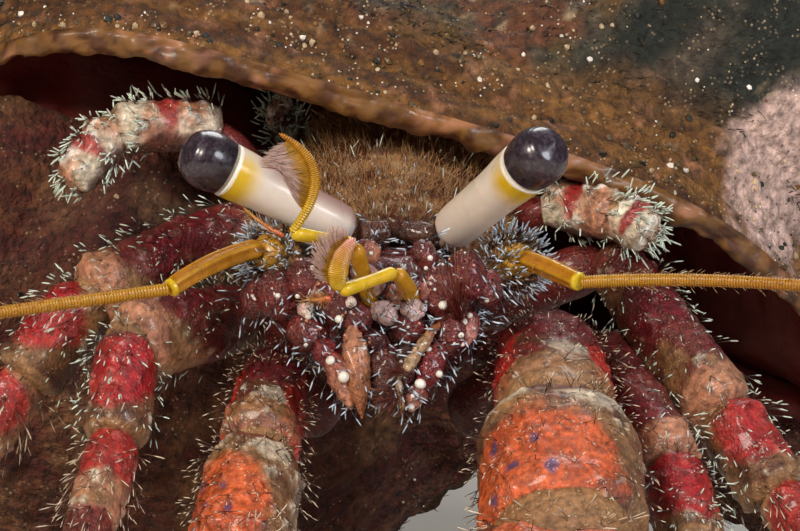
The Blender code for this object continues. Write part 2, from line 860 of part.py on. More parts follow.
def abdomen():
    """Soft hind body, from the rear of the hard body round the pillar of the shell."""
    joint = []
    for i in range(COIL_SIDES):
        angle = math.pi / 2.0 - 2.0 * math.pi * (i + 0.5) / COIL_SIDES
        joint.append(body_outline(BODY_LENGTH + GAP, math.remainder(angle, 2.0 * math.pi), 0.1))
    return loft([joint] + coil_rings(COIL_START, COIL_END, (3.7, 4.1, 4.0, 3.6, 3.0, 2.3)))


def tail_fan():
    """End of the hind body, which grips the pillar."""
    return loft(coil_rings(COIL_END + 0.01, TAIL_END, (2.2, 2.3, 1.4), 0.6))


# ----------------------------------------------------------------------------- build
def finishes():
    """All the materials."""
    return {
        "shell": material("snail_shell", (0.23, 0.15, 0.09), 0.75),
        "shield": material("shield_tan", (0.42, 0.22, 0.11), 0.5),
        "body": material("body_maroon", (0.25, 0.06, 0.05), 0.5),
        "soft": material("soft_hind_body", (0.45, 0.22, 0.17), 0.6),
        "stalk": material("eyestalk_cream", (0.8, 0.68, 0.6), 0.35),
        "cornea": material("cornea_black", (0.01, 0.008, 0.012), 0.12),
        "antennule": material("antennule_yellow", (0.65, 0.42, 0.02), 0.35),
        "antenna": material("antenna_orange", (0.68, 0.3, 0.02), 0.4),
        "leg": material("leg_red", (0.6, 0.03, 0.02), 0.45),
        "claw": material("claw_orange", (0.6, 0.12, 0.04), 0.45),
        "rear": material("rear_leg_tan", (0.5, 0.3, 0.2), 0.55),
    }


def build():
    """Make every part of the crab and its shell."""
    for old in list(bpy.data.objects):
        bpy.data.objects.remove(old, do_unlink=True)
    crab = collection("hermit_crab")
    cutters = collection("cutters")
    finish = finishes()

    shell = add("shell", shell_solid(), finish["shell"], crab)
    cut(shell, add("cutter_cavity", cavity(), finish["shell"], cutters))
    cut(shell, add("cutter_ground", ground(), finish["shell"], cutters))

    add("shield", shield(), finish["shield"], crab)
    trunk = add("cephalothorax", cephalothorax(), finish["body"], crab)
    add("face", face(), finish["body"], crab)
    add("abdomen", abdomen(), finish["soft"], crab)
    add("tail_fan", tail_fan(), finish["rear"], crab)

    for side, side_name in SIDE_NAMES.items():
        add(f"eyestalk_{side_name}", eyestalk(side), finish["stalk"], crab)
        add(f"cornea_{side_name}", cornea(side), finish["cornea"], crab)
        root = tapered_tube(EYE_ROOTS[side], (0.55, 0.5, 0.42), 8)
        add(f"eye_root_{side_name}", root, finish["body"], crab)
        for part in MAXILLIPEDS[side]:
            add(f"maxilliped_{side_name}_{part}", maxilliped(side, part), finish["body"], crab)

    for feeler_name, (start, pieces) in FEELERS.items():
        for name, bm in feeler(start, pieces):
            add(f"{feeler_name}_{name}", bm, finish[feeler_name.partition("_")[0]], crab)
    for name, points in THREADS.items():
        bm = tapered_tube(along_curve(*points, 3), (THREAD_RADIUS,) * 4, 6)
        add(name, bm, finish["antennule"], crab)

    for limb in WALKING_LEGS + CHELIPEDS + REAR_LEGS:
        for name, bm in limb.solids():
            add(name, bm, finish[limb.shade], crab)
        socket = loft(limb.root_rings(grow=2.0 * GAP, reach=2.0 * GAP))
        cut(trunk, add(f"cutter_{limb.name}", socket, finish["body"], cutters))
    for side, limb in zip((RIGHT, LEFT), CHELIPEDS):
        for name, bm in claw_fingers(limb, side):
            add(f"{limb.name}_{name}", bm, finish["claw"], crab)


build()
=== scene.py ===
"""Finished model of a hermit crab that looks out of a sea snail's shell.

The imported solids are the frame: each piece made here stands for some of them and keeps their
places.  Lengths are millimetres on the living animal, in axes where the crab faces -Y and its
left side is at +X.  A mesh is turned into metres when it is made.
"""

from __future__ import annotations

import logging
import math
from dataclasses import dataclass, field
from enum import Enum
from itertools import product
from typing import Sequence

import bmesh
import bpy
import numpy as np
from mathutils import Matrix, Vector
from mathutils.bvhtree import BVHTree

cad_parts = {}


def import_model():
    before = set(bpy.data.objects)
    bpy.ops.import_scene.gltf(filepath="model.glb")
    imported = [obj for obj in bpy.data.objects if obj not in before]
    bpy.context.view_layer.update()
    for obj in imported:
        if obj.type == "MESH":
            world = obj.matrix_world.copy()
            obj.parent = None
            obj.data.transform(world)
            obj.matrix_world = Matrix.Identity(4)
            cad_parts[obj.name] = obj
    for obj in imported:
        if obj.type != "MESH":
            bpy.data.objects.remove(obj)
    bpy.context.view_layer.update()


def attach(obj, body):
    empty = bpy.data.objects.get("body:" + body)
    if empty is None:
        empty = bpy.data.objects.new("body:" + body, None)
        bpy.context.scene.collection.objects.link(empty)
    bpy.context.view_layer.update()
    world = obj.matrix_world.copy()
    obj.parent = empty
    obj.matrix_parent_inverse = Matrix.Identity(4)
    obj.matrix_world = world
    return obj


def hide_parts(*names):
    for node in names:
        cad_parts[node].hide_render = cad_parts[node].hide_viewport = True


LOG = logging.getLogger("hermit_crab")
Array = np.ndarray
Point = Sequence[float]

MM = 0.001
PLACE = np.array((1.94, -8.3, 0.0))  # from the crab's own axes to the frame's origin
UP = np.array((0.0, 0.0, 1.0))
BODY = "root"
SIDES = {"right": -1, "left": 1}
CREST = 0.25  # u of a surface's uppermost line


# ------------------------------------------------------------------------------- numbers
def linear(code: str) -> Array:
    """Return a colour's linear parts from its six-figure screen code."""
    parts = np.array([int(code[i : i + 2], 16) / 255.0 for i in (0, 2, 4)])
    return np.where(parts <= 0.04045, parts / 12.92, ((parts + 0.055) / 1.055) ** 2.4)


def step(low: float, high: float, value: Array) -> Array:
    """Rise smoothly from 0 to 1 between two values."""
    share = np.clip((value - low) / (high - low), 0.0, 1.0)
    return share * share * (3.0 - 2.0 * share)


def mix(first: Array, second: Array, share: Array) -> Array:
    """Blend two colours, or a list of colours and one, by a share for each point."""
    return first + (second - first) * np.asarray(share)[..., None]


def unit(vectors: Array) -> Array:
    """Return vectors at length one."""
    length = np.linalg.norm(vectors, axis=-1, keepdims=True)
    return vectors / np.maximum(length, 1e-9)


def noise(points: Array, size: float, seed: int = 0) -> Array:
    """Return smooth noise from -1 to 1.

    Args:
        points: places to read it at, one row each.
        size: width of a lump of it, in the units of the points.
        seed: number of the pattern.

    Returns:
        One value for each point.
    """
    scaled = points / size + seed * 7.31
    cell = np.floor(scaled).astype(np.int64)
    inside = scaled - cell
    inside = inside * inside * (3.0 - 2.0 * inside)
    total = np.zeros(len(points))
    for corner in product((0, 1), repeat=3):
        where = cell + np.array(corner)
        mixed = where[:, 0] * 73856093 ^ where[:, 1] * 19349663 ^ where[:, 2] * 83492791
        mixed = (mixed ^ (mixed >> 13) ^ seed * 9973) * 1274126177 & 0x7FFFFFFF
        weight = np.where(np.array(corner) == 1, inside, 1.0 - inside).prod(axis=1)
        total += weight * ((mixed >> 8) & 0xFFFF) / 65535.0
    return total * 2.0 - 1.0


def rough(points: Array, size: float, seed: int = 0, layers: int = 3) -> Array:
    """Return noise with finer layers on top, each half as wide and half as strong."""
    return sum(noise(points, size / 2**i, seed + i) / 2**i for i in range(layers)) / 1.6


def spline(knots: Array, values: Array, at: Array) -> Array:
    """Interpolate rows of values smoothly.

    Args:
        knots: place of each row, rising.
        values: one row for each knot.
        at: places to read.

    Returns:
        One row for each place.
    """
    slopes = np.gradient(values, knots, axis=0, edge_order=1)
    index = np.clip(np.searchsorted(knots, at, side="right") - 1, 0, len(knots) - 2)
    gap = knots[index + 1] - knots[index]
    t = ((at - knots[index]) / gap)[:, None]
    gap = gap[:, None]
    return (
        values[index] * (2 * t**3 - 3 * t**2 + 1)
        + slopes[index] * gap * (t**3 - 2 * t**2 + t)
        + values[index + 1] * (3 * t**2 - 2 * t**3)
        + slopes[index + 1] * gap * (t**3 - t**2)
    )


class Lens:
    """The camera, and where the things it sees lie."""

    TARGET = np.array((0.225, 0.0, 22.0))
    TILT = math.radians(10.0)
    DISTANCE = 150.0
    PIXEL = 0.045  # width of a picture element at the target
    MIDDLE = (395.0, 265.5)

    def point(self, across: float, down: float, depth: float) -> Array:
        """Return the point at a Y that shows at a place in the view."""
        u, v = (across - self.MIDDLE[0]) * self.PIXEL, (self.MIDDLE[1] - down) * self.PIXEL
        sine, cosine = math.sin(self.TILT), math.cos(self.TILT)
        away = (depth - sine * v) / (cosine + sine * v / self.DISTANCE)
        scale = 1.0 + away / self.DISTANCE
        return np.array((u * scale, depth, self.TARGET[2] + cosine * v * scale - sine * away))

    def strike(self, tree: BVHTree, across: float, down: float) -> tuple[Array, Array]:
        """Return where the line of sight meets a surface, and the surface's direction there."""
        near, far = self.point(across, down, -60.0), self.point(across, down, 20.0)
        place, normal, _, _ = tree.ray_cast(Vector(near), Vector(far - near).normalized())
        if place is None:
            return self.point(across, down, 0.0), np.array((0.0, -1.0, 0.0))
        return np.array(place), np.array(normal)

    def make(self) -> None:
        """Put the camera in the scene."""
        data = bpy.data.cameras.new("camera")
        data.lens, data.sensor_width = 150.0, 36.0
        data.clip_start, data.clip_end = 0.01, 10.0
        made = bpy.data.objects.new("camera", data)
        target = self.TARGET + PLACE
        back = np.array((0.0, -math.cos(self.TILT), math.sin(self.TILT))) * self.DISTANCE
        made.location = Vector((target + back) * MM)
        made.rotation_euler = (math.radians(90.0) - self.TILT, 0.0, 0.0)
        bpy.context.scene.collection.objects.link(made)
        bpy.context.scene.camera = made


LENS = Lens()


# ------------------------------------------------------------------------------- colours
class Hue(Enum):
    """Named colours of the animal and its shell."""

    TAN = "a5794f"
    BROWN = "6b4029"
    CREAM = "ecd9bc"
    BONE = "fff4e6"
    RED = "b4041a"
    SCARLET = "d62a1c"
    ORANGE = "e0602c"
    CRIMSON = "6e0a1c"
    MAROON = "4c1512"
    WINE = "7a2a24"
    MAUVE = "94605a"
    LAVENDER = "dcbab2"
    PINK = "d9968a"
    SALMON = "c98a68"
    VIOLET = "5a4a78"
    LEMON = "e0b81c"
    GOLD = "c08a14"
    AMBER = "b4740c"
    RUST = "8e4a10"
    PALE_GREEN = "e4f2de"
    ICE = "d4e4f0"
    UMBER = "38180f"
    INK = "14101c"
    HORN = "2a1810"
    LIP = "7d5426"
    OLIVE = "594626"
    GREY = "45453a"
    SLATE = "23261f"
    BARK = "47230f"
    HAIR_GOLD = "b98a56"
    EYE = "2e232b"
    SPECK = "604d5b"
    SHELL_PINK = "d2b0a2"
    IVORY = "eadccd"
    BLUSH = "c9a59c"
    EYE_RIM = "c9c4b4"
    SAND = "cbb08a"

    @property
    def rgb(self) -> Array:
        """Linear parts of the colour."""
        return linear(self.value)


# ------------------------------------------------------------------------------- finishes
@dataclass(frozen=True)
class Finish:
    """How a surface takes the light, over the colours painted on its points."""

    name: str
    roughness: float = 0.4
    coat: float = 0.0
    flesh: float = 0.0  # how much light passes through
    mottle: float = 0.25  # how far fine blotches lighten and darken the colour
    mottle_size: float = 0.5
    speck: Hue | None = None
    speck_size: float = 0.25
    speck_share: float = 0.2
    bump_size: float = 0.2
    bump: float = 0.03

    def material(self) -> bpy.types.Material:
        """Return the material, made once."""
        if self.name in bpy.data.materials:
            return bpy.data.materials[self.name]
        made = bpy.data.materials.new(self.name)
        made.use_nodes = True
        tree = made.node_tree
        shader = tree.nodes["Principled BSDF"]
        shader.inputs["Coat Weight"].default_value = self.coat
        shader.inputs["Coat Roughness"].default_value = 0.12
        shader.inputs["Subsurface Weight"].default_value = self.flesh
        shader.inputs["Subsurface Radius"].default_value = (1.0, 0.35, 0.2)
        shader.inputs["Subsurface Scale"].default_value = 0.4 * MM
        place = tree.nodes.new("ShaderNodeTexCoord").outputs["Object"]
        tint = tree.nodes.new("ShaderNodeVertexColor")
        tint.layer_name = "Tint"
        blotch = self.noise(tree, place, self.mottle_size, 4.0)
        level = self.spread(tree, blotch, 1.0 - self.mottle, 1.0 + self.mottle)
        shaded = tree.nodes.new("ShaderNodeVectorMath")
        shaded.operation = "SCALE"
        tree.links.new(tint.outputs["Color"], shaded.inputs[0])
        tree.links.new(level, shaded.inputs["Scale"])
        colour = shaded.outputs["Vector"]
        if self.speck is not None:
            cells = tree.nodes.new("ShaderNodeTexVoronoi")
            cells.inputs["Scale"].default_value = 1.0 / (self.speck_size * MM)
            tree.links.new(place, cells.inputs["Vector"])
            spots = self.spread(tree, cells.outputs["Distance"], 1.0, 0.0, 0.12, 0.34)
            patch = self.noise(tree, place, self.speck_size * 5.0, 2.0)
            where = self.spread(tree, patch, 0.0, 1.0, 0.62 - self.speck_share, 0.72)
            both = tree.nodes.new("ShaderNodeMath")
            both.operation = "MULTIPLY"
            tree.links.new(spots, both.inputs[0])
            tree.links.new(where, both.inputs[1])
            blend = tree.nodes.new("ShaderNodeMix")
            blend.data_type = "RGBA"
            blend.inputs["B"].default_value = (*self.speck.rgb, 1.0)
            tree.links.new(both.outputs[0], blend.inputs["Factor"])
            tree.links.new(colour, blend.inputs["A"])
            colour = blend.outputs["Result"]
        tree.links.new(colour, shader.inputs["Base Color"])
        gloss = self.noise(tree, place, self.mottle_size * 2.0, 3.0)
        dull = self.spread(tree, gloss, self.roughness - 0.12, self.roughness + 0.12)
        tree.links.new(dull, shader.inputs["Roughness"])
        if self.bump:
            grain = self.noise(tree, place, self.bump_size, 5.0)
            bump = tree.nodes.new("ShaderNodeBump")
            bump.inputs["Distance"].default_value = self.bump * MM
            tree.links.new(grain, bump.inputs["Height"])
            tree.links.new(bump.outputs["Normal"], shader.inputs["Normal"])
        return made

    @staticmethod
    def noise(tree: bpy.types.NodeTree, place: object, size: float, detail: float) -> object:
        """Add a noise texture with lumps of a size in millimetres, and return its output."""
        made = tree.nodes.new("ShaderNodeTexNoise")
        made.inputs["Scale"].default_value = 1.0 / (size * MM)
        made.inputs["Detail"].default_value = detail
        tree.links.new(place, made.inputs["Vector"])
        return made.outputs["Fac"]

    @staticmethod
    def spread(
        tree: bpy.types.NodeTree,
        value: object,
        low: float,
        high: float,
        start: float = 0.3,
        end: float = 0.7,
    ) -> object:
        """Map a value's middle range to a new range, and return the output."""
        made = tree.nodes.new("ShaderNodeMapRange")
        ends = {"From Min": start, "From Max": end, "To Min": low, "To Max": high}
        for name, number in ends.items():
            made.inputs[name].default_value = number
        tree.links.new(value, made.inputs["Value"])
        return made.outputs["Result"]


CHITIN = Finish("hard_skin", 0.4, 0.25, 0.04, 0.45, 0.3, Hue.CREAM, 0.17, 0.13, 0.16, 0.1)
MOUTH = Finish("mouth_skin", 0.3, 0.5, 0.1, 0.5, 0.25, Hue.PINK, 0.14, 0.25, 0.14, 0.13)
STALK = Finish("stalk_skin", 0.3, 0.3, 0.35, 0.06, 1.2, None, bump_size=0.3, bump=0.006)
CORNEA = Finish("eye_window", 0.32, 0.6, 0.0, 0.35, 0.13, None, bump=0.0)
FEELER = Finish("feeler_skin", 0.3, 0.3, 0.25, 0.14, 0.4, None, bump_size=0.15, bump=0.015)
BACK = Finish("back_skin", 0.5, 0.1, 0.05, 0.3, 0.5, Hue.CREAM, 0.3, 0.2, 0.2, 0.08)
SOFT = Finish("hind_skin", 0.5, 0.1, 0.3, 0.2, 1.2, None, bump_size=0.5, bump=0.08)
CRUST = Finish("crusted_face", 0.8, 0.0, 0.0, 0.6, 0.5, Hue.SAND, 0.25, 0.12, 0.35, 0.6)
NACRE = Finish("smooth_wall", 0.45, 0.15, 0.05, 0.3, 1.5, None, bump_size=0.6, bump=0.08)
BRISTLE = Finish("stiff_hair", 0.3, 0.3, 0.0, 0.08, 0.5, None, bump=0.0)
HAIR = Finish("fine_hair", 0.45, 0.0, 0.0, 0.15, 0.5, None, bump=0.0)


# ------------------------------------------------------------------------------- surfaces
class Surface:
    """A surface over the unit square: u goes round it and v goes along it."""

    rows: int = 40
    columns: int = 24
    seed: int = 0

    def bare(self, u: Array, v: Array) -> Array:
        """Return the smooth surface's points."""
        raise NotImplementedError

    def lift(self, u: Array, v: Array, points: Array) -> Array:
        """Return the height of the relief over the smooth surface."""
        return np.zeros(len(u))

    def tint(self, u: Array, v: Array, points: Array, lift: Array) -> Array:
        """Return the colours."""
        raise NotImplementedError

    def place_rows(self, share: Array) -> Array:
        """Return v for evenly counted rows; the ends' rows lie closer together."""
        return share - 0.11 * np.sin(2.0 * np.pi * share)

    def outward(self, u: Array, v: Array) -> tuple[Array, Array]:
        """Return the smooth surface's outward directions and its directions along v."""
        small = 2e-3
        high, low = np.minimum(v + small, 1.0), np.maximum(v - small, 0.0)
        ahead = self.bare(u, high) - self.bare(u, low)
        round_ = self.bare(u + small, v) - self.bare(u - small, v)
        return unit(np.cross(ahead, round_)), unit(ahead)

    def at(self, u: Array, v: Array) -> tuple[Array, Array, Array]:
        """Return finished points, outward directions and directions along v."""
        points = self.bare(u, v)
        out, ahead = self.outward(u, v)
        return points + out * self.lift(u, v, points)[:, None], out, ahead

    def add_to(self, bm: bmesh.types.BMesh) -> None:
        """Add the surface's mesh, painted, to a bmesh."""
        sheet = bmesh.new()
        bmesh.ops.create_grid(sheet, x_segments=self.columns, y_segments=self.rows, size=1.0)
        mesh = bpy.data.meshes.new("sheet")
        sheet.to_mesh(mesh)
        sheet.free()
        flat = np.empty(len(mesh.vertices) * 3, dtype=np.float32)
        mesh.vertices.foreach_get("co", flat)
        square = (flat.reshape(-1, 3).astype(float) + 1.0) / 2.0
        u, v = np.round(square[:, 0], 6), self.place_rows(np.round(square[:, 1], 6))
        points = self.bare(u, v)
        lift = self.lift(u, v, points)
        colours = np.clip(self.tint(u, v, points, lift), 0.0, 1.0)
        placed = (points + self.outward(u, v)[0] * lift[:, None] + PLACE) * MM
        placed[:, 2] = np.maximum(placed[:, 2], 0.0)
        mesh.vertices.foreach_set("co", placed.ravel())
        paint(mesh, colours)
        bm.from_mesh(mesh)
        bpy.data.meshes.remove(mesh)


def paint(mesh: bpy.types.Mesh, colours: Array) -> None:
    """Store a colour for each point of a mesh."""
    layer = mesh.color_attributes.new("Tint", "FLOAT_COLOR", "POINT")
    layer.data.foreach_set("color", np.column_stack((colours, np.ones(len(colours)))).ravel())


@dataclass
class Tube(Surface):
    """Closed surface swept along a smooth path."""

    path: Sequence[Point]
    wide: Sequence[float]
    tall: Sequence[float] | None = None
    shares: Sequence[float] | None = None
    colours: Sequence[Hue] = (Hue.MAROON, Hue.WINE)
    rows: int = 24
    columns: int = 16
    caps: tuple[float, float] = (0.15, 0.15)
    power: float = 2.0
    across: Point | None = None
    lump: float = 0.0
    lump_size: float = 0.5
    seed: int = 0
    sweep: Array = field(init=False)

    def __post_init__(self) -> None:
        """Gather the path and the radii at its knots."""
        path = np.array(self.path, dtype=float)
        tall = self.wide if self.tall is None else self.tall
        if len(self.wide) != len(path):
            spread = np.linspace(0.0, 1.0, len(path))
            knots = np.linspace(0.0, 1.0, len(self.wide))
            finer = np.linspace(0.0, 1.0, max(len(path), len(self.wide)) * 2 + 1)
            path = spline(spread, path, finer)
            wide, tall = np.interp(finer, knots, self.wide), np.interp(finer, knots, tall)
            self.knots = finer
        else:
            wide, tall = np.array(self.wide), np.array(tall)
            self.knots = np.array(self.shares) if self.shares else np.linspace(0, 1, len(path))
        self.sweep = np.column_stack((path, wide, tall))

    def bare(self, u: Array, v: Array) -> Array:
        """Return the smooth surface's points."""
        here = spline(self.knots, self.sweep, v)
        high, low = np.minimum(v + 0.01, 1.0), np.maximum(v - 0.01, 0.0)
        path = self.sweep[:, :3]
        ahead = unit(spline(self.knots, path, high) - spline(self.knots, path, low))
        if self.across is None:
            side = unit(np.cross(ahead, UP))
        else:
            across = np.broadcast_to(np.array(self.across, dtype=float), ahead.shape)
            side = unit(across - ahead * (across * ahead).sum(axis=1)[:, None])
        crest = np.cross(side, ahead)
        cosine, sine = np.cos(2.0 * np.pi * u), np.sin(2.0 * np.pi * u)
        x = np.sign(cosine) * np.abs(cosine) ** (2.0 / self.power)
        y = np.sign(sine) * np.abs(sine) ** (2.0 / self.power)
        closing = self.closing(v)
        x, y = x * here[:, 3] * closing, y * here[:, 4] * closing
        return here[:, :3] + side * x[:, None] + crest * y[:, None]

    def closing(self, v: Array) -> Array:
        """Return the share of the full radius, which falls to nothing at the rounded ends."""
        near = np.clip(1.0 - v / max(self.caps[0], 1e-6), 0.0, 1.0)
        far = np.clip(1.0 - (1.0 - v) / max(self.caps[1], 1e-6), 0.0, 1.0)
        return np.sqrt(np.clip(1.0 - near**2, 0.0, 1.0) * np.clip(1.0 - far**2, 0.0, 1.0))

    def lift(self, u: Array, v: Array, points: Array) -> Array:
        """Return the height of the relief over the smooth surface."""
        if not self.lump:
            return np.zeros(len(u))
        return self.lump * rough(points, self.lump_size, self.seed) * self.closing(v)

    def tint(self, u: Array, v: Array, points: Array, lift: Array) -> Array:
        """Return the colours, which run along the tube with a wavering border."""
        stops = np.array([hue.rgb for hue in self.colours])
        if len(stops) == 1:
            return np.repeat(stops, len(u), axis=0)
        place = np.clip(v + 0.12 * noise(points, 0.6, self.seed + 5), 0.0, 1.0)
        spread = np.linspace(0.0, 1.0, len(stops))
        return np.column_stack([np.interp(place, spread, stops[:, i]) for i in range(3)])


# ------------------------------------------------------------------------------- coats
@dataclass(frozen=True)
class Bristle:
    """One kind of bristle: thin at the root, thickest towards its pale tip."""

    length: float
    shaft: Hue
    tip: Hue
    root_radius: float = 0.035
    club_radius: float = 0.055
    tip_from: float = 0.55  # share of the length at which the pale tip starts
    lean: float = 0.7  # 0 stands straight up, 1 lies flat towards the end of the limb
    stray: float = 0.3
    curve: float = 0.15
    sides: int = 3


class Coat:
    """Bristles gathered into one mesh piece."""

    PATCH = 0.003  # width of a tuft's patch on the map
    CELLS = 4  # the map is divided into this many cells each way, one for each surface

    def __init__(self, seed: int) -> None:
        """Start an empty coat."""
        self.random = np.random.default_rng(seed)
        self.points: list[Array] = []
        self.faces: list[Array] = []
        self.colours: list[Array] = []
        self.maps: list[Array] = []
        self.count = 0
        self.cell = 0

    def grow(
        self,
        roots: Array,
        out: Array,
        ahead: Array,
        style: Bristle,
        place: Array | None = None,
        scale: Array | None = None,
    ) -> None:
        """Grow one bristle from each root.

        Args:
            roots: points the bristles stand on.
            out: outward directions at the roots.
            ahead: directions that the bristles lean to.
            style: kind of bristle.
            place: each root's place on the surface's own unwrap, from 0 to 1.
            scale: each bristle's size against the style's.
        """
        number = len(roots)
        if not number:
            return
        if place is None:
            place = self.random.random((number, 2))
        if scale is None:
            scale = np.ones(number)
        stray = self.random.normal(0.0, style.stray, (number, 3))
        lean = style.lean
        way = unit(out * (1.0 - lean) + ahead * lean + stray)
        length = style.length * scale * self.random.uniform(0.7, 1.2, number)
        bend = unit(ahead + stray) * (style.curve * length)[:, None]
        side = unit(np.cross(way, out + 0.01))
        other = np.cross(way, side)
        club = style.tip_from
        stops = np.array((-0.06, club, min(club + 0.12, 0.9), 0.92, 1.0))
        root, tip = style.root_radius, style.club_radius
        radii = np.array((root, root * 0.9, tip, tip * 0.8, 0.0))
        rings = []
        for t, radius in zip(stops[:-1], radii):
            centre = roots + way * (length * t)[:, None] + bend * max(t, 0.0) ** 2
            for i in range(style.sides):
                turn = 2.0 * math.pi * i / style.sides
                reach = radius * np.sqrt(scale)[:, None]
                rings.append(centre + (side * math.cos(turn) + other * math.sin(turn)) * reach)
        rings.append(roots + way * length[:, None] + bend)
        body = np.stack(rings, axis=1)
        each = body.shape[1]
        pattern, corners = self.pattern(style.sides, len(stops) - 1)
        start = self.count + np.arange(number)[:, None, None] * each
        self.points.append(body.reshape(-1, 3))
        self.faces.append((pattern[None] + start).reshape(-1, 3))
        shades = np.array([0.0, 0.15, 1.0, 1.0])
        shades = np.append(np.repeat(shades, style.sides), 1.0)
        tone = mix(style.shaft.rgb, style.tip.rgb, shades)
        wave = self.random.uniform(0.75, 1.15, (number, 1, 1))
        self.colours.append((tone[None] * wave).reshape(-1, 3))
        size = 1.0 / self.CELLS
        corner = np.array((self.cell % self.CELLS, self.cell // self.CELLS)) * size
        base = corner + np.clip(place, 0.01, 0.98) * (size - self.PATCH)
        self.maps.append((base[:, None, None, :] + corners[None] * self.PATCH).reshape(-1, 2))
        self.count += number * each

    @staticmethod
    def pattern(sides: int, levels: int) -> tuple[Array, Array]:
        """Return one bristle's triangles and their corners' places on its patch."""
        faces, corners = [], []
        for level in range(levels - 1):
            for i in range(sides):
                j = (i + 1) % sides
                a, b = level * sides + i, level * sides + j
                c, d = b + sides, a + sides
                low, high = level / levels, (level + 1) / levels
                left, right = i / sides, (i + 1) / sides
                faces += [(a, b, c), (a, c, d)]
                corners += [((left, low), (right, low), (right, high))]
                corners += [((left, low), (right, high), (left, high))]
        top = levels * sides
        for i in range(sides):
            a, b = (levels - 1) * sides + i, (levels - 1) * sides + (i + 1) % sides
            faces.append((a, b, top))
            left, right, low = i / sides, (i + 1) / sides, (levels - 1) / levels
            corners.append(((left, low), (right, low), ((left + right) / 2, 1.0)))
        faces.append(tuple(range(sides))[::-1][:3])
        corners.append(((0.0, 0.0), (0.5, 0.0), (1.0, 0.0)))
        return np.array(faces), np.array(corners)

    def cover(
        self,
        surface: Surface,
        number: int,
        style: Bristle,
        crest: float = 0.5,
        low: float = 0.05,
        high: float = 0.97,
    ) -> None:
        """Grow bristles at random over a surface.

        Args:
            surface: what they grow on.
            number: how many.
            style: kind of bristle.
            crest: how strongly they keep to the crest, from 0 to 1.
            low: lowest v that they stand at.
            high: highest v that they stand at.
        """
        u, v = self.random.random(number * 3), self.random.uniform(low, high, number * 3)
        chance = 1.0 - crest * (0.5 - 0.5 * np.cos(2.0 * np.pi * (u - CREST)))
        kept = self.random.random(number * 3) < chance
        u, v = u[kept][:number], v[kept][:number]
        points, out, ahead = surface.at(u, v)
        self.grow(points, out, ahead, style, np.column_stack((u, v)))

    def next_cell(self) -> None:
        """Use the map's next cell from here on."""
        self.cell = (self.cell + 1) % self.CELLS**2

    def piece(self, name: str, finish: Finish, slot: str) -> bpy.types.Object:
        """Make the piece, which stands for no solid."""
        mesh = bpy.data.meshes.new(name)
        points = (np.concatenate(self.points) + PLACE) * MM
        points[:, 2] = np.maximum(points[:, 2], 0.0)
        faces = np.concatenate(self.faces)
        mesh.from_pydata(points, [], faces)
        layer = mesh.uv_layers.new(name="OFBake")
        layer.data.foreach_set("uv", np.concatenate(self.maps).astype(np.float32).ravel())
        paint(mesh, np.clip(np.concatenate(self.colours), 0.0, 1.0))
        mesh.shade_smooth()
        return publish(name, mesh, finish)


def publish(
    name: str, mesh: bpy.types.Mesh, finish: Finish, nodes: Sequence[str] = ()
) -> bpy.types.Object:
    """Make a mesh a piece of the model.

    Args:
        name: name of the piece.
        mesh: its mesh, in metres.
        finish: its finish.
        nodes: the solids that it stands for.

    Returns:
        The new object.
    """
    mesh.materials.append(finish.material())
    made = bpy.data.objects.new(name, mesh)
    bpy.context.scene.collection.objects.link(made)
    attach(made, BODY)
    if nodes:
        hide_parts(*nodes)
    LOG.info("%s: %d points", name, len(mesh.vertices))
    return made


def gather(
    name: str, surfaces: Sequence[Surface], finish: Finish, nodes: Sequence[str] = ()
) -> bpy.types.Object:
    """Join surfaces into one piece with closed seams and poles."""
    bm = bmesh.new()
    for surface in surfaces:
        surface.add_to(bm)
    bmesh.ops.remove_doubles(bm, verts=bm.verts, dist=1e-7)
    bmesh.ops.dissolve_degenerate(bm, edges=bm.edges, dist=1e-8)
    bmesh.ops.recalc_face_normals(bm, faces=bm.faces)
    mesh = bpy.data.meshes.new(name)
    bm.to_mesh(mesh)
    bm.free()
    mesh.shade_smooth()
    return publish(name, mesh, finish, nodes)


# ------------------------------------------------------------------------------- limbs
@dataclass(frozen=True)
class Marking:
    """Patch of colour on a limb's segment: its middle and half size on the unrolled surface."""

    hue: Hue
    around: float = 0.25  # 0.25 is the crest
    along: float = 0.5
    half_around: float = 0.3
    half_along: float = 0.3
    ragged: float = 0.3
    strength: float = 0.86

    def share(self, u: Array, v: Array, points: Array, seed: int) -> Array:
        """Return how strongly the patch shows at each point."""
        turn = np.abs((u - self.around + 0.5) % 1.0 - 0.5) / self.half_around
        reach = np.abs(v - self.along) / self.half_along
        far = np.sqrt(turn**2 + reach**2) + self.ragged * rough(points, 1.1, seed)
        return 1.0 - step(0.8, 1.1, far)


@dataclass(frozen=True)
class Hide:
    """Relief, colours and bristles of one kind of limb segment."""

    ground: Hue
    cloud: Hue
    marks: tuple[Marking, ...] = ()
    wart: Hue = Hue.CREAM
    warts: int = 50
    wart_size: float = 0.24
    wart_height: float = 0.14
    ridge: float = 0.07
    rim: Hue = Hue.SALMON
    tufts: int = 90
    bristle: str = "limb"
    point: Hue | None = None  # colour of a horny tip


CELL = 0.13  # width of the cells in a limb's mesh
TUFT = 3  # most bristles that stand together
TUFT_SHARE = 0.4  # share of them that grow

PROFILES = {
    "merus": (0.72, 0.88, 0.95, 1.0, 1.02, 1.04, 1.06, 1.0),
    "carpus": (0.74, 0.98, 1.04, 1.06, 1.06, 1.07, 1.08, 0.98),
    "propodus": (0.8, 1.0, 1.02, 1.0, 0.95, 0.9, 0.86, 0.8),
    "dactyl": (0.95, 1.0, 0.96, 0.88, 0.78, 0.64, 0.47, 0.33),
    "palm": (0.6, 0.92, 1.03, 1.08, 1.07, 1.0, 0.92, 0.82),
}


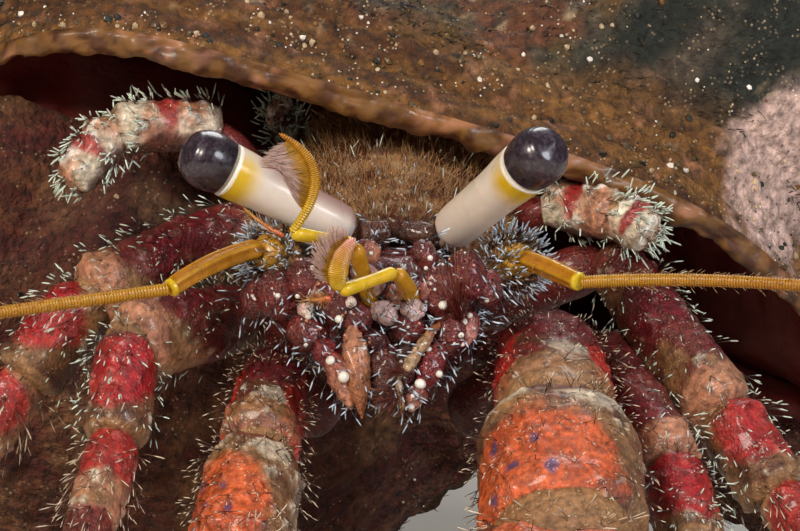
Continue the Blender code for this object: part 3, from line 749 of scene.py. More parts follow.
@dataclass
class Segment(Tube):
    """One hard segment of a limb."""

    hide: Hide = field(default_factory=lambda: Hide(Hue.TAN, Hue.BROWN))

    FLOOR_GAP = 0.03  # height of the lowest points over the floor

    def __post_init__(self) -> None:
        """Gather the path and scatter the warts."""
        super().__post_init__()
        random = np.random.default_rng(self.seed + 100)
        self.wart_u = (0.25 + random.normal(0.0, 0.24, self.hide.warts)) % 1.0
        self.wart_v = random.uniform(0.04, 0.96, self.hide.warts)
        self.wart_at = self.bare(self.wart_u, self.wart_v)
        self.wart_scale = random.uniform(0.6, 1.3, self.hide.warts)

    def warts(self, points: Array) -> Array:
        """Return the warts' height at each point, as a share of their full height."""
        total = np.zeros(len(points))
        for start in range(0, len(points), 4000):
            part = points[start : start + 4000]
            far = np.linalg.norm(part[:, None] - self.wart_at[None], axis=2)
            size = self.hide.wart_size * self.wart_scale
            total[start : start + 4000] = (
                np.exp(-((far / size) ** 2) * 1.6) * self.wart_scale
            ).sum(axis=1)
        return np.minimum(total, 1.4)

    def lift(self, u: Array, v: Array, points: Array) -> Array:
        """Return warts, short cross ridges and a swollen far rim."""
        turn = u * 2.0 * np.pi
        unrolled = np.column_stack((np.cos(turn), np.sin(turn), v * 9.0))
        ridges = 1.0 - np.abs(rough(unrolled, 0.55, self.seed + 20, 2))
        ridges = np.clip(ridges, 0.0, 1.0) ** 4
        size = float(np.mean(self.sweep[:, 3]))
        soft = 0.05 * size * rough(points, size, self.seed + 8)
        height = self.hide.wart_height * self.warts(points) + self.hide.ridge * ridges + soft
        return height * self.closing(v)

    def tint(self, u: Array, v: Array, points: Array, lift: Array) -> Array:
        """Return the markings, pale warts and the rims' colour."""
        hide = self.hide
        cloud = step(-0.35, 0.35, rough(points, 1.5, self.seed + 3))
        colour = mix(np.repeat(hide.ground.rgb[None], len(u), axis=0), hide.cloud.rgb, cloud)
        edge = np.maximum(1.0 - step(0.0, 0.1, v), step(0.9, 0.99, v))
        colour = mix(colour, hide.rim.rgb, 0.7 * edge)
        if hide.warts:
            colour = mix(colour, hide.wart.rgb, 0.85 * step(0.4, 1.0, self.warts(points)))
        for index, mark in enumerate(hide.marks):
            share = mark.share(u, v, points, self.seed + index)
            colour = mix(colour, mark.hue.rgb, mark.strength * share)
        hollow = step(0.25, -0.35, rough(points, 0.35, self.seed + 30))
        colour = colour * (1.0 - 0.35 * hollow)[:, None]
        if hide.point is not None:
            colour = mix(colour, hide.point.rgb, step(0.84, 0.93, v))
        return colour

    def bare(self, u: Array, v: Array) -> Array:
        """Return the smooth surface's points, kept above the floor."""
        points = super().bare(u, v)
        points[:, 2] = np.maximum(points[:, 2], self.FLOOR_GAP)
        return points


@dataclass(frozen=True)
class Limb:
    """A jointed limb: its joints from the body outward and each segment's girth and hide."""

    name: str
    joints: tuple[Point, ...]
    kinds: tuple[str, ...]
    girths: tuple[tuple[float, float], ...]
    hides: tuple[Hide, ...]
    nodes: tuple[str, ...]
    slot: str
    seed: int = 0

    def surfaces(self) -> list[Surface]:
        """Return the limb's segments and the soft skin of its joints."""
        made: list[Surface] = []
        joints = [np.array(joint, dtype=float) for joint in self.joints]
        wide, tall = self.girths[0]
        first = joints[0] + (joints[0] - joints[1]) * 0.1
        root = Tube((first, joints[1]), (wide, wide * 0.95), (tall, tall * 0.95))
        root.colours, root.caps, root.seed = (Hue.MAROON, Hue.WINE), (0.2, 0.25), self.seed
        root.lump = 0.08
        made.append(root)
        for index, kind in enumerate(self.kinds):
            start, end = joints[index + 1], joints[index + 2]
            wide, tall = self.girths[index + 1]
            run = end - start
            length = float(np.linalg.norm(run))
            profile = np.array(PROFILES[kind])
            knots = np.linspace(0.0, 1.0, len(profile))
            sag = 0.9 if kind == "dactyl" else 0.0
            tuck = min(0.35 * wide, 0.12 * length) / length
            path = [
                start + run * (-tuck + (1.0 + 1.6 * tuck) * t) + UP * sag * math.sin(math.pi * t)
                for t in knots
            ]
            if kind == "dactyl":
                path = [start + run * t + UP * sag * math.sin(math.pi * t) for t in knots]
            caps = (min(0.8 * wide / length, 0.3), min(0.5 * wide / length, 0.25))
            rows = int(max(40, length / CELL))
            columns = int(max(36, 2.0 * math.pi * max(wide, tall) / CELL))
            made.append(
                Segment(
                    path,
                    list(profile * wide),
                    list(profile * tall * 1.04),
                    rows=rows,
                    columns=columns,
                    caps=caps,
                    power=2.2,
                    seed=self.seed + 10 * index,
                    hide=self.hides[index],
                )
            )
            if index:
                made.append(self.joint_skin(start, joints[index], end, wide * 0.86, index))
        return made

    def joint_skin(
        self, joint: Array, before: Array, after: Array, radius: float, index: int
    ) -> Tube:
        """Return the soft skin that fills a joint."""
        path = (
            joint + unit(before - joint) * radius * 1.1,
            joint,
            joint + unit(after - joint) * radius * 1.1,
        )
        made = Tube(path, (radius * 0.88, radius * 0.95, radius * 0.88), rows=36, columns=48)
        made.colours, made.caps = (Hue.BROWN, Hue.TAN, Hue.BROWN), (0.3, 0.3)
        made.lump, made.lump_size, made.seed = 0.13, 0.35, self.seed + index
        return made

    def build(self) -> list[Surface]:
        """Make the limb's skin and its coat."""
        parts = self.surfaces()
        gather(self.name, parts, CHITIN, self.nodes)
        coat = Coat(self.seed)
        for part in parts:
            if isinstance(part, Segment):
                self.dress(coat, part)
                coat.next_cell()
        coat.piece(f"{self.name}_bristles", BRISTLE, "bristle")
        return parts

    def dress(self, coat: Coat, part: Segment) -> None:
        """Grow tufts from a segment's warts and between them, mostly in rows round it."""
        hide, random = part.hide, coat.random
        rows = max(4, int(np.linalg.norm(part.sweep[-1, :3] - part.sweep[0, :3]) / 0.9))
        number = hide.tufts
        u = (0.25 + random.normal(0.0, 0.27, number)) % 1.0
        v = (random.integers(0, rows, number) + 0.8 + random.normal(0.0, 0.1, number)) / rows
        v = np.clip(v, 0.05, 0.97)
        u = np.append(u, part.wart_u)
        v = np.append(v, part.wart_v)
        points, out, ahead = part.at(u, v)
        style = BRISTLES[hide.bristle]
        size = random.uniform(0.6, 1.25, len(u))
        place = np.column_stack((u, v))
        for _ in range(TUFT):
            kept = random.random(len(u)) < TUFT_SHARE
            coat.grow(points[kept], out[kept], ahead[kept], style, place[kept], size[kept])


BRISTLES = {
    "limb": Bristle(0.9, Hue.UMBER, Hue.PALE_GREEN, 0.018, 0.042, 0.6, 0.5, 0.28),
    "claw": Bristle(0.8, Hue.UMBER, Hue.CREAM, 0.02, 0.028, 0.68, 0.45, 0.3),
    "long": Bristle(1.4, Hue.BROWN, Hue.CREAM, 0.022, 0.032, 0.6, 0.6, 0.25),
    "rear": Bristle(0.8, Hue.BROWN, Hue.PALE_GREEN, 0.022, 0.05, 0.4, 0.4, 0.35),
    "ink": Bristle(1.0, Hue.INK, Hue.ICE, 0.02, 0.045, 0.6, 0.35, 0.35),
    "hair": Bristle(0.8, Hue.BROWN, Hue.HAIR_GOLD, 0.014, 0.012, 0.5, 0.4, 0.35, 0.35),
}

MERUS = Hide(
    Hue.TAN,
    Hue.WINE,
    (Marking(Hue.CRIMSON, 0.3, 0.45, 0.3, 0.38), Marking(Hue.SALMON, 0.25, 0.95, 0.6, 0.12)),
    tufts=90,
)
CARPUS = Hide(
    Hue.TAN,
    Hue.BROWN,
    (Marking(Hue.RED, 0.25, 0.42, 0.27, 0.36, 0.25), Marking(Hue.TAN, 0.3, 0.95, 0.5, 0.08)),
    tufts=70,
    warts=40,
)
PROPODUS = Hide(
    Hue.TAN,
    Hue.SALMON,
    (Marking(Hue.RED, 0.25, 0.22, 0.4, 0.16), Marking(Hue.CRIMSON, 0.3, 0.7, 0.3, 0.14)),
    tufts=110,
    bristle="long",
)
DACTYL = Hide(
    Hue.SALMON,
    Hue.TAN,
    (Marking(Hue.SCARLET, 0.25, 0.2, 0.5, 0.12), Marking(Hue.CRIMSON, 0.3, 0.55, 0.4, 0.1)),
    warts=30,
    wart_size=0.16,
    wart_height=0.08,
    tufts=150,
    bristle="long",
    point=Hue.HORN,
)
LEG_KINDS = ("merus", "carpus", "propodus", "dactyl")
LEG_GIRTHS = ((1.15, 1.3), (1.3, 1.65), (1.3, 1.5), (1.1, 1.25), (0.85, 0.95))
LEG_HIDES = (MERUS, CARPUS, PROPODUS, DACTYL)

CLAW_MERUS = Hide(
    Hue.WINE,
    Hue.BROWN,
    (
        Marking(Hue.SCARLET, 0.47, 0.6, 0.13, 0.45),
        Marking(Hue.SCARLET, 0.05, 0.5, 0.1, 0.45),
        Marking(Hue.CRIMSON, 0.28, 0.35, 0.14, 0.3),
        Marking(Hue.TAN, 0.2, 0.85, 0.3, 0.1, 0.5, 0.7),
        Marking(Hue.CREAM, 0.3, 0.72, 0.06, 0.07, 0.5, 0.6),
    ),
    Hue.BONE,
    warts=110,
    wart_size=0.2,
    wart_height=0.13,
    ridge=0.11,
    rim=Hue.SALMON,
    tufts=130,
    bristle="claw",
)
CLAW_CARPUS = Hide(
    Hue.TAN,
    Hue.BROWN,
    (
        Marking(Hue.WINE, 0.3, 0.1, 0.2, 0.1),
        Marking(Hue.CREAM, 0.33, 0.26, 0.08, 0.08, 0.6, 0.7),
        Marking(Hue.CREAM, 0.12, 0.2, 0.07, 0.06, 0.6, 0.7),
        Marking(Hue.ORANGE, 0.17, 0.68, 0.2, 0.34),
        Marking(Hue.VIOLET, 0.10, 0.52, 0.014, 0.05),
        Marking(Hue.VIOLET, 0.20, 0.59, 0.012, 0.03),
        Marking(Hue.VIOLET, 0.15, 0.72, 0.02, 0.02),
        Marking(Hue.VIOLET, 0.23, 0.78, 0.012, 0.045),
        Marking(Hue.VIOLET, 0.09, 0.84, 0.016, 0.02),
    ),
    Hue.CREAM,
    warts=120,
    wart_size=0.2,
    wart_height=0.13,
    ridge=0.12,
    rim=Hue.CREAM,
    tufts=150,
    bristle="claw",
)
PALM = Hide(
    Hue.TAN,
    Hue.SALMON,
    (Marking(Hue.ORANGE, 0.25, 0.4, 0.3, 0.3), Marking(Hue.CRIMSON, 0.6, 0.6, 0.2, 0.3)),
    Hue.CREAM,
    warts=160,
    wart_size=0.26,
    wart_height=0.2,
    tufts=200,
    bristle="long",
)
FINGER = Hide(
    Hue.SALMON,
    Hue.TAN,
    (Marking(Hue.SCARLET, 0.25, 0.2, 0.5, 0.16),),
    Hue.CREAM,
    warts=30,
    wart_size=0.2,
    wart_height=0.12,
    tufts=70,
    bristle="long",
    point=Hue.HORN,
)
REAR = Hide(
    Hue.SALMON,
    Hue.CREAM,
    (Marking(Hue.RED, 0.2, 0.5, 0.3, 0.12), Marking(Hue.MAROON, 0.7, 0.5, 0.2, 0.5)),
    Hue.BONE,
    warts=40,
    wart_size=0.26,
    wart_height=0.16,
    tufts=80,
    bristle="rear",
)


def walking_leg(name: str, side: str, seed: int, *joints: Point) -> Limb:
    """Return one of the four walking legs."""
    nodes = tuple(f"{name}_{side}_{kind}" for kind in LEG_KINDS)
    title = f"{name}_{side}"
    return Limb(title, joints, LEG_KINDS, LEG_GIRTHS, LEG_HIDES, nodes, "leg_red", seed=seed)


TOE = 0.04
WALKING_LEGS = (
    walking_leg(
        "leg_2", "right", 11, (-4.0, 6.9, 16.4), (-7.0, 5.6, 18.6), (-11.9, -1.6, 18.8),
        (-12.3, -4.3, 14.9), (-13.6, -11.6, 10.2), (-15.6, -16.8, TOE),
    ),
    walking_leg(
        "leg_2", "left", 12, (4.1, 6.9, 16.4), (9.7, 6.2, 16.7), (12.4, -2.6, 13.2),
        (13.1, -7.2, 10.3), (15.3, -14.0, 6.2), (17.6, -22.2, TOE),
    ),
    walking_leg(
        "leg_3", "right", 13, (-4.3, 9.8, 18.2), (-7.2, 8.6, 22.3), (-14.0, 2.8, 20.0),
        (-16.9, 1.1, 16.6), (-22.0, -1.6, 9.6), (-26.3, -5.8, TOE),
    ),
    walking_leg(
        "leg_3", "left", 14, (4.3, 9.8, 18.2), (10.2, 8.8, 20.8), (15.0, 0.8, 15.0),
        (17.2, -1.8, 11.9), (21.9, -6.9, 6.6), (26.5, -13.0, TOE),
    ),
)


def rear_leg(name: str, seed: int, girths: tuple, *joints: Point) -> Limb:
    """Return one of the four small hind legs."""
    kinds = ("merus", "propodus")
    return Limb(name, joints, kinds, girths, (REAR, REAR), (name,), "tan_skin", seed=seed)


FOURTH = ((0.9, 0.9), (1.05, 1.1), (1.0, 1.0))
FIFTH = ((0.55, 0.55), (0.55, 0.55), (0.5, 0.5))
REAR_LEGS = (
    rear_leg(
        "leg_4_right", 21, FOURTH,
        (-4.4, 12.4, 20.8), (-8.6, 10.4, 27.0), (-13.3, 9.0, 27.0), (-15.2, 7.6, 24.6),
    ),
    rear_leg(
        "leg_4_left", 22, FOURTH,
        (4.4, 12.4, 20.8), (7.4, 9.4, 23.3), (10.4, 7.0, 23.2), (12.0, 6.0, 22.3),
    ),
    rear_leg(
        "leg_5_right", 23, FIFTH,
        (-3.2, 15.6, 22.6), (-4.9, 17.4, 24.2), (-5.7, 17.2, 26.2), (-5.7, 16.2, 27.3),
    ),
    rear_leg(
        "leg_5_left", 24, FIFTH,
        (3.2, 15.6, 22.6), (4.9, 17.4, 24.2), (5.7, 17.2, 26.0), (5.7, 16.2, 27.0),
    ),
)


@dataclass(frozen=True)
class Cheliped(Limb):
    """A clawed limb, which ends in a fixed and a moving finger."""

    fingertip: Point = (0.0, 0.0, 0.0)
    side: int = 1

    def surfaces(self) -> list[Surface]:
        """Return the arm's segments and the two fingers."""
        made = super().surfaces()
        palm_end, before = np.array(self.joints[-1]), np.array(self.joints[-2])
        tip = np.array(self.fingertip)
        along = unit(palm_end - before)
        across = unit(np.cross(along, UP)) * self.side
        wide, tall = self.girths[-1]
        for index, place in enumerate((-0.45, 0.45)):
            base = palm_end + across * (place * wide) - along * 0.5
            end = tip + across * (place * 0.5 * wide)
            middle = (base + end) / 2.0 + across * (place * 0.36 * wide) + UP * 0.35
            path = [
                base * (1 - t) ** 2 + middle * 2 * t * (1 - t) + end * t**2
                for t in np.linspace(0.0, 1.0, 7)
            ]
            girth = 0.40 * wide * np.array((0.95, 1.0, 0.96, 0.84, 0.66, 0.45, 0.26))
            flat = min(1.0, 0.8 * tall / (0.39 * wide))
            made.append(
                Segment(
                    path,
                    list(girth),
                    list(girth * flat),
                    rows=60,
                    columns=44,
                    caps=(0.12, 0.1),
                    seed=self.seed + 50 + index,
                    hide=FINGER,
                )
            )
        return made


def cheliped(side: str, seed: int, girths: tuple, fingertip: Point, *joints: Point) -> Cheliped:
    """Return one of the two clawed limbs."""
    parts = ("merus", "carpus", "palm", "fixed_finger", "moving_finger")
    return Cheliped(
        f"cheliped_{side}",
        joints,
        ("merus", "carpus", "palm"),
        girths,
        (CLAW_MERUS, CLAW_CARPUS, PALM),
        tuple(f"cheliped_{side}_{part}" for part in parts),
        "claw_orange",
        seed=seed,
        fingertip=fingertip,
        side=SIDES[side],
    )


CHELIPEDS = (
    cheliped(
        "right", 31, ((1.3, 1.3), (1.6, 2.0), (2.0, 2.1), (2.5, 2.0)), (-4.0, -20.0, 0.2),
        (-3.2, 4.4, 13.9), (-5.5, 3.6, 16.2), (-6.1, -3.6, 14.0), (-6.8, -8.3, 10.4),
        (-5.6, -14.4, 5.9),
    ),
    cheliped(
        "left", 32, ((1.5, 1.5), (2.5, 2.6), (3.3, 3.1), (3.8, 2.9)), (3.7, -26.0, 0.3),
        (3.3, 4.4, 13.9), (7.0, 3.4, 17.4), (7.1, -4.7, 15.7), (7.1, -11.4, 11.9),
        (5.8, -19.0, 6.6),
    ),
)


# ------------------------------------------------------------------------------- eyes
@dataclass(frozen=True)
class Eye:
    """A dark cornea on a pale stalk with a yellow band and a white rim."""

    side: str
    base: Point
    tip: Point
    root: tuple[Point, ...]
    # hue of the painted shade along the top of the stalk
    painted_top_shade: Hue

    BACK = 0.95
    CORNEA = 1.34

    def build(self) -> None:
        """Make the stalk and the cornea."""
        base, tip = np.array(self.base), np.array(self.tip)
        along = unit(tip - base)
        length = float(np.linalg.norm(tip - base)) - self.BACK
        stalk = Stalk(
            [base + along * length * t for t in (0.0, 0.12, 0.35, 0.7, 0.9, 1.0)],
            (0.9, 1.0, 1.05, 1.12, 1.23, 1.25),
            shares=(0.0, 0.12, 0.35, 0.7, 0.9, 1.0),
            rows=90,
            columns=64,
            caps=(0.1, 0.015),
            painted_top_shade=self.painted_top_shade,
        )
        gather(f"eyestalk_{self.side}", [stalk], STALK, (f"eyestalk_{self.side}",))
        rim = tip - along * self.BACK
        turns = np.linspace(0.0, 1.0, 9)
        path = [rim + along * (self.BACK + self.CORNEA) * t for t in turns]
        reach = (self.BACK + self.CORNEA) * turns - self.BACK
        round_ = np.sqrt(np.clip(1.0 - (np.maximum(reach, 0.0) / self.CORNEA) ** 2, 0.0, 1.0))
        pinch = 1.0 - 0.10 * np.clip(-reach / self.BACK, 0.0, 1.0) ** 2
        cornea = Cornea(
            path, list(self.CORNEA * round_ * pinch + 0.001), rows=60, columns=64, caps=(0.02, 0.0)
        )
        gather(f"cornea_{self.side}", [cornea], CORNEA, (f"cornea_{self.side}",))


@dataclass
class Stalk(Tube):
    """Eyestalk, painted along its length."""

    # hue of the painted shade along the top of the stalk
    painted_top_shade: Hue = Hue.CREAM

    def tint(self, u: Array, v: Array, points: Array, lift: Array) -> Array:
        """Return cream skin with painted shade along its top, a yellow band and a white rim."""
        wave = 0.012 * noise(points, 0.7, 3)
        colour = np.repeat(Hue.IVORY.rgb[None], len(u), axis=0)
        blush = step(0.6, 0.1, v) * (0.5 + 0.5 * noise(points, 1.4, 4))
        colour = mix(colour, Hue.BLUSH.rgb, 0.45 * blush)
        # Painted shade: the top of the stalk is darkened towards the given hue, most strongly away
        # from the cornea.
        top = step(0.2, 0.9, np.sin(2.0 * np.pi * u)) * step(0.95, 0.6, v)
        colour = mix(colour, self.painted_top_shade.rgb, 0.75 * top)
        low = 0.5 - 0.5 * np.sin(2.0 * np.pi * (u + 0.04))
        band = step(0.80 - 0.1 * low, 0.92, v + wave) * (0.25 + 0.75 * step(0.1, 0.5, low))
        colour = mix(colour, Hue.LEMON.rgb, band)
        return mix(colour, Hue.BONE.rgb, step(0.962, 0.975, v + 0.5 * wave))


@dataclass
class Cornea(Tube):
    """Eye's dark window, with fine purple-brown specks."""

    def place_rows(self, share: Array) -> Array:
        """Return rows that crowd towards the front, where the dome curves most."""
        return 1.0 - (1.0 - share) ** 1.6

    def tint(self, u: Array, v: Array, points: Array, lift: Array) -> Array:
        """Return near-black with a paler edge at the back, and painted shade that darkens it
        towards the back so the front reads lighter as a painted reflection.
        """
        colour = np.repeat(Hue.EYE.rgb[None], len(u), axis=0)
        speck = step(0.0, 0.6, noise(points, 0.1, 8)) * step(0.0, 0.2, v)
        colour = mix(colour, Hue.SPECK.rgb, 0.5 * speck)
        # Painted shade and reflection: the back of the cornea is darkened, leaving its front
        # lighter.
        colour = colour * (0.55 + 0.45 * step(0.15, 0.6, v))[:, None]
        return mix(colour, Hue.EYE_RIM.rgb, step(0.05, 0.02, v))


EYES = (
    Eye(
        "right",
        (-1.95, 1.75, 23.25),
        (-8.35, -0.36, 26.85),
        ((-0.35, 2.6, 23.0), (-1.0, 2.2, 23.15), (-1.7, 1.9, 23.2)),
        # painted shade on the top of this stalk
        Hue.MAUVE,
    ),
    Eye(
        "left",
        (2.35, 1.75, 23.15),
        (6.28, -2.72, 27.32),
        ((0.35, 2.6, 23.0), (1.1, 2.2, 23.1), (2.05, 1.95, 23.1)),
        Hue.CREAM,
    ),
)


# ------------------------------------------------------------------------------- feelers
@dataclass
class Ringed(Tube):
    """Feeler made of many short rings, which may have lengthwise ridges."""

    rings: float = 0.0
    groove: float = 0.04
    ridges: int = 0
    ridge: float = 0.05
    edge: Hue | None = None

    def place_rows(self, share: Array) -> Array:
        """Return evenly spaced rows, so that each ring gets as many."""
        return share

    def lift(self, u: Array, v: Array, points: Array) -> Array:
        """Return ridges, and grooves between the rings."""
        height = np.zeros(len(u))
        if self.rings:
            height -= self.groove * np.exp(-((((v * self.rings) % 1.0 - 0.5) / 0.2) ** 2))
        if self.ridges:
            height += self.ridge * np.cos(2.0 * np.pi * u * self.ridges) * self.closing(v)
        return height * np.minimum(self.closing(v) * 2.0, 1.0)

    def tint(self, u: Array, v: Array, points: Array, lift: Array) -> Array:
        """Return the colours along it, darker in the grooves."""
        colour = super().tint(u, v, points, lift)
        if self.rings:
            deep = np.exp(-((((v * self.rings) % 1.0 - 0.5) / 0.16) ** 2))
            colour = colour * (1.0 - 0.45 * deep)[:, None]
        if self.edge is not None and self.ridges:
            high = step(0.2, 0.9, np.cos(2.0 * np.pi * u * self.ridges))
            colour = mix(colour, self.edge.rgb, high)
        return colour


def curve(*points: Point, steps: int = 12) -> list[Array]:
    """Return points of a quadratic curve through its handle."""
    start, bend, end = (np.array(point, dtype=float) for point in points)
    return [
        start * (1 - t) ** 2 + bend * 2 * t * (1 - t) + end * t**2
        for t in np.linspace(0.0, 1.0, steps + 1)
    ]


class Feelers:
    """Both pairs of feelers."""

    ANTENNAE = {
        "right": (
            (-4.7, 1.9, 21.9), (-5.4, 1.0, 22.2), (-6.0, 0.1, 22.8),
            (-8.0, -1.3, 22.6), (-9.95, -3.15, 21.5), (-24.0, -8.0, 20.4), (-33.0, -20.0, 21.0),
        ),
        "left": (
            (4.7, 1.9, 21.6), (5.3, 1.0, 21.9), (5.8, 0.15, 22.3),
            (6.9, -1.5, 22.2), (8.16, -3.15, 21.8), (19.0, -4.5, 22.8), (36.0, -14.0, 20.5),
        ),
    }

    def build(self) -> None:
        """Make all four feelers and their hairs."""
        coat = Coat(41)
        for side in SIDES:
            self.antenna(side, coat)
            coat.next_cell()
        self.antennules(coat)
        coat.piece("feeler_hairs", HAIR, "mouth_bristle")

    def antenna(self, side: str, coat: Coat) -> None:
        """Make one long feeler: a hairy base, a ridged stem and a whip of many rings."""
        start, bend, root, mid, joint, sweep, end = self.ANTENNAE[side]
        base = Tube(curve(start, bend, root), (1.0, 1.05, 0.72), rows=50, columns=48)
        base.colours, base.lump, base.lump_size = (Hue.BROWN, Hue.TAN, Hue.GOLD), 0.16, 0.5
        stem = Ringed(curve(root, mid, joint), (0.42, 0.45, 0.40), rows=60, columns=48)
        stem.colours, stem.edge = (Hue.AMBER, Hue.AMBER), Hue.GOLD
        stem.ridges, stem.ridge, stem.caps = 5, 0.045, (0.1, 0.06)
        whip = Ringed(
            curve(joint, sweep, end, steps=40), (0.30, 0.28, 0.24), rows=900, columns=14
        )
        whip.rings, whip.groove, whip.caps = 210.0, 0.05, (0.004, 0.01)
        whip.colours = (Hue.GOLD, Hue.AMBER, Hue.SALMON)
        collar = Tube(
            (np.array(joint) - unit(np.array(joint) - np.array(mid)) * 0.25, joint),
            (0.43, 0.40), rows=10, columns=24,
        )
        collar.colours = (Hue.LEMON,)
        nodes = tuple(f"antenna_{side}_{part}" for part in ("base", "stem", "whip"))
        gather(f"antenna_{side}", [base, stem, collar, whip], FEELER, nodes)
        coat.cover(base, 260, BRISTLES["ink"], crest=0.2, low=0.2)
        coat.cover(base, 200, BRISTLES["hair"], crest=0.2)
        short = Bristle(0.35, Hue.AMBER, Hue.SAND, 0.012, 0.01, 0.5, 0.6, 0.2)
        coat.cover(whip, 500, short, crest=0.6)
        coat.cover(stem, 40, short, crest=0.3)

    def antennules(self, coat: Coat) -> None:
        """Make the two short feelers, with a comb of rings and a thread on each."""
        first = self.jointed(
            (-0.9, -1.2, 19.9), (-1.35, -2.4, 21.6), (-1.72, -3.42, 23.55),
            (-3.1, -4.2, 23.95), (-4.5, -4.9, 24.3), (Hue.GOLD, Hue.LEMON),
        )
        comb = Ringed(
            curve((-4.5, -4.9, 24.3), (-2.2, -5.2, 27.2), (-5.0, -5.2, 28.7), steps=24),
            (0.2, 0.25, 0.24, 0.1), (0.16, 0.2, 0.18, 0.06), rows=260, columns=20,
        )
        comb.rings, comb.groove, comb.colours = 52.0, 0.06, (Hue.LEMON, Hue.GOLD, Hue.AMBER)
        comb.across = (1.0, 0.0, 0.0)
        comb.caps = (0.02, 0.04)
        thread = Ringed(
            curve((-4.8, -5.15, 24.2), (-5.7, -5.0, 24.6), (-6.6, -4.7, 25.4)),
            (0.12, 0.09, 0.04), rows=90, columns=10,
        )
        thread.rings, thread.groove, thread.colours = 22.0, 0.02, (Hue.ORANGE, Hue.GOLD)
        self.publish("right", [*first, comb, thread])
        self.fringe(coat, comb, 200, 1.8)
        second = self.jointed(
            (0.9, -1.2, 20.0), (0.75, -2.6, 21.4), (0.05, -3.72, 22.38),
            (-1.15, -4.7, 22.1), (-2.4, -5.6, 21.85), (Hue.GOLD, Hue.LEMON),
        )
        blade = Ringed(
            curve((-2.4, -5.6, 21.85), (-2.75, -6.0, 23.2), (-1.7, -5.6, 24.2), steps=20),
            (0.3, 0.48, 0.42, 0.2), (0.16, 0.2, 0.16, 0.08), rows=150, columns=20,
        )
        blade.rings, blade.groove, blade.colours = 30.0, 0.03, (Hue.LEMON, Hue.GOLD, Hue.PINK)
        blade.across = (1.0, 0.0, 0.0)
        hairy = Ringed(
            curve((-2.75, -5.85, 21.6), (-3.3, -6.0, 21.5), (-4.0, -6.0, 21.55)),
            (0.16, 0.1, 0.04), rows=60, columns=10,
        )
        hairy.rings, hairy.groove, hairy.colours = 16.0, 0.02, (Hue.ORANGE, Hue.GOLD)
        self.publish("left", [*second, blade, hairy])
        self.fringe(coat, blade, 90, 1.0)
        fine = Bristle(0.45, Hue.AMBER, Hue.SAND, 0.012, 0.008, 0.5, 0.5, 0.3)
        coat.cover(hairy, 70, fine, crest=0.0)
        coat.cover(thread, 50, fine, crest=0.0)

    @staticmethod
    def jointed(
        start: Point, bend: Point, knee: Point, middle: Point, end: Point, hues: tuple
    ) -> list[Surface]:
        """Return the two joints that carry an antennule's whips."""
        lower = Tube(curve(start, bend, knee), (0.36, 0.40, 0.34), rows=40, columns=28)
        upper = Tube(curve(knee, middle, end), (0.31, 0.28, 0.34), rows=40, columns=28)
        lower.colours, upper.colours = hues[:1], hues[1:]
        lower.caps = upper.caps = (0.12, 0.12)
        return [lower, upper]

    @staticmethod
    def publish(side: str, parts: list[Surface]) -> None:
        """Make one antennule a piece."""
        nodes = tuple(f"antennule_{side}_{part}" for part in ("base", "last", "fan", "thread"))
        gather(f"antennule_{side}", parts, FEELER, nodes)

    @staticmethod
    def fringe(coat: Coat, comb: Surface, number: int, length: float) -> None:
        """Grow the close row of fine pale hairs along a comb."""
        hair = Bristle(length, Hue.GOLD, Hue.SHELL_PINK, 0.024, 0.022, 0.35, 0.2, 0.03, 0.25)
        low, high = 0.18, 0.92
        v = np.linspace(low, high, number)
        for turn in (0.44, 0.48, 0.52, 0.56):
            u = np.full(number, turn)
            points, out, ahead = comb.at(u, v)
            swell = np.sin(np.pi * (v - low) / (high - low)) ** 0.6
            coat.grow(points, out, ahead, hair, np.column_stack((u, v)), 0.3 + 0.65 * swell)
        coat.next_cell()


# ------------------------------------------------------------------------------- body
@dataclass
class Trunk(Surface):
    """Body behind the face, under and behind the shield."""

    low: float = 0.6
    high: float = 17.0
    inset: float = 0.75
    rows: int = 110
    columns: int = 170
    seed: int = 50

    ROSTRUM = np.array((0.0, 3.4, 23.8))
    PITCH = math.radians(20.0)
    LENGTH = 17.0
    AXIS_DEPTH = 4.6

    def outline(self, along: Array, angle: Array, inset: Array) -> Array:
        """Return the body's outline at a distance from the rostrum; angle 0 is the top."""
        share = along / self.LENGTH
        wide = 4.2 + 1.6 * np.sin(np.pi * np.minimum(1.0, share * 1.15 + 0.05)) - 0.9 * share
        top, bottom = 3.9 + 0.7 * np.sin(np.pi * share), 5.8 - 2.4 * share
        cosine = np.cos(angle)
        tall = bottom + (top - bottom) * step(-0.15, 0.15, cosine)
        waist = 1.0 - 0.3 * np.maximum(0.0, -cosine)
        x = np.sin(angle) * (wide * waist - inset)
        down = self.AXIS_DEPTH - cosine * (tall - inset)
        sine, cos = math.sin(self.PITCH), math.cos(self.PITCH)
        return self.ROSTRUM + np.column_stack(
            (x, along * cos + down * sine, along * sine - down * cos)
        )

    def bare(self, u: Array, v: Array) -> Array:
        """Return the smooth surface's points."""
        ends = np.sqrt(np.clip(1.0 - np.clip(1.0 - v / 0.12, 0, 1) ** 2, 0, 1))
        ends *= np.sqrt(np.clip(1.0 - np.clip(1.0 - (1.0 - v) / 0.06, 0, 1) ** 2, 0, 1))
        along = self.low + (self.high - self.low) * v
        angle = np.pi / 2.0 - 2.0 * np.pi * u
        angle = np.arctan2(np.sin(angle), np.cos(angle))
        full = self.outline(along, angle, np.full(len(u), self.inset))
        middle = self.outline(along, angle * 0.0, np.full(len(u), 3.9))
        return middle + (full - middle) * ends[:, None]

    def lift(self, u: Array, v: Array, points: Array) -> Array:
        """Return folds and lumps."""
        return 0.22 * rough(points, 1.6, self.seed) + 0.05 * rough(points, 0.4, self.seed + 3)

    def tint(self, u: Array, v: Array, points: Array, lift: Array) -> Array:
        """Return maroon mottled with tan."""
        cloud = step(-0.2, 0.5, rough(points, 1.4, self.seed + 1))
        colour = mix(np.repeat(Hue.MAROON.rgb[None], len(u), axis=0), Hue.WINE.rgb, cloud)
        return mix(colour, Hue.TAN.rgb, 0.6 * step(0.1, 0.5, rough(points, 0.9, self.seed + 2)))


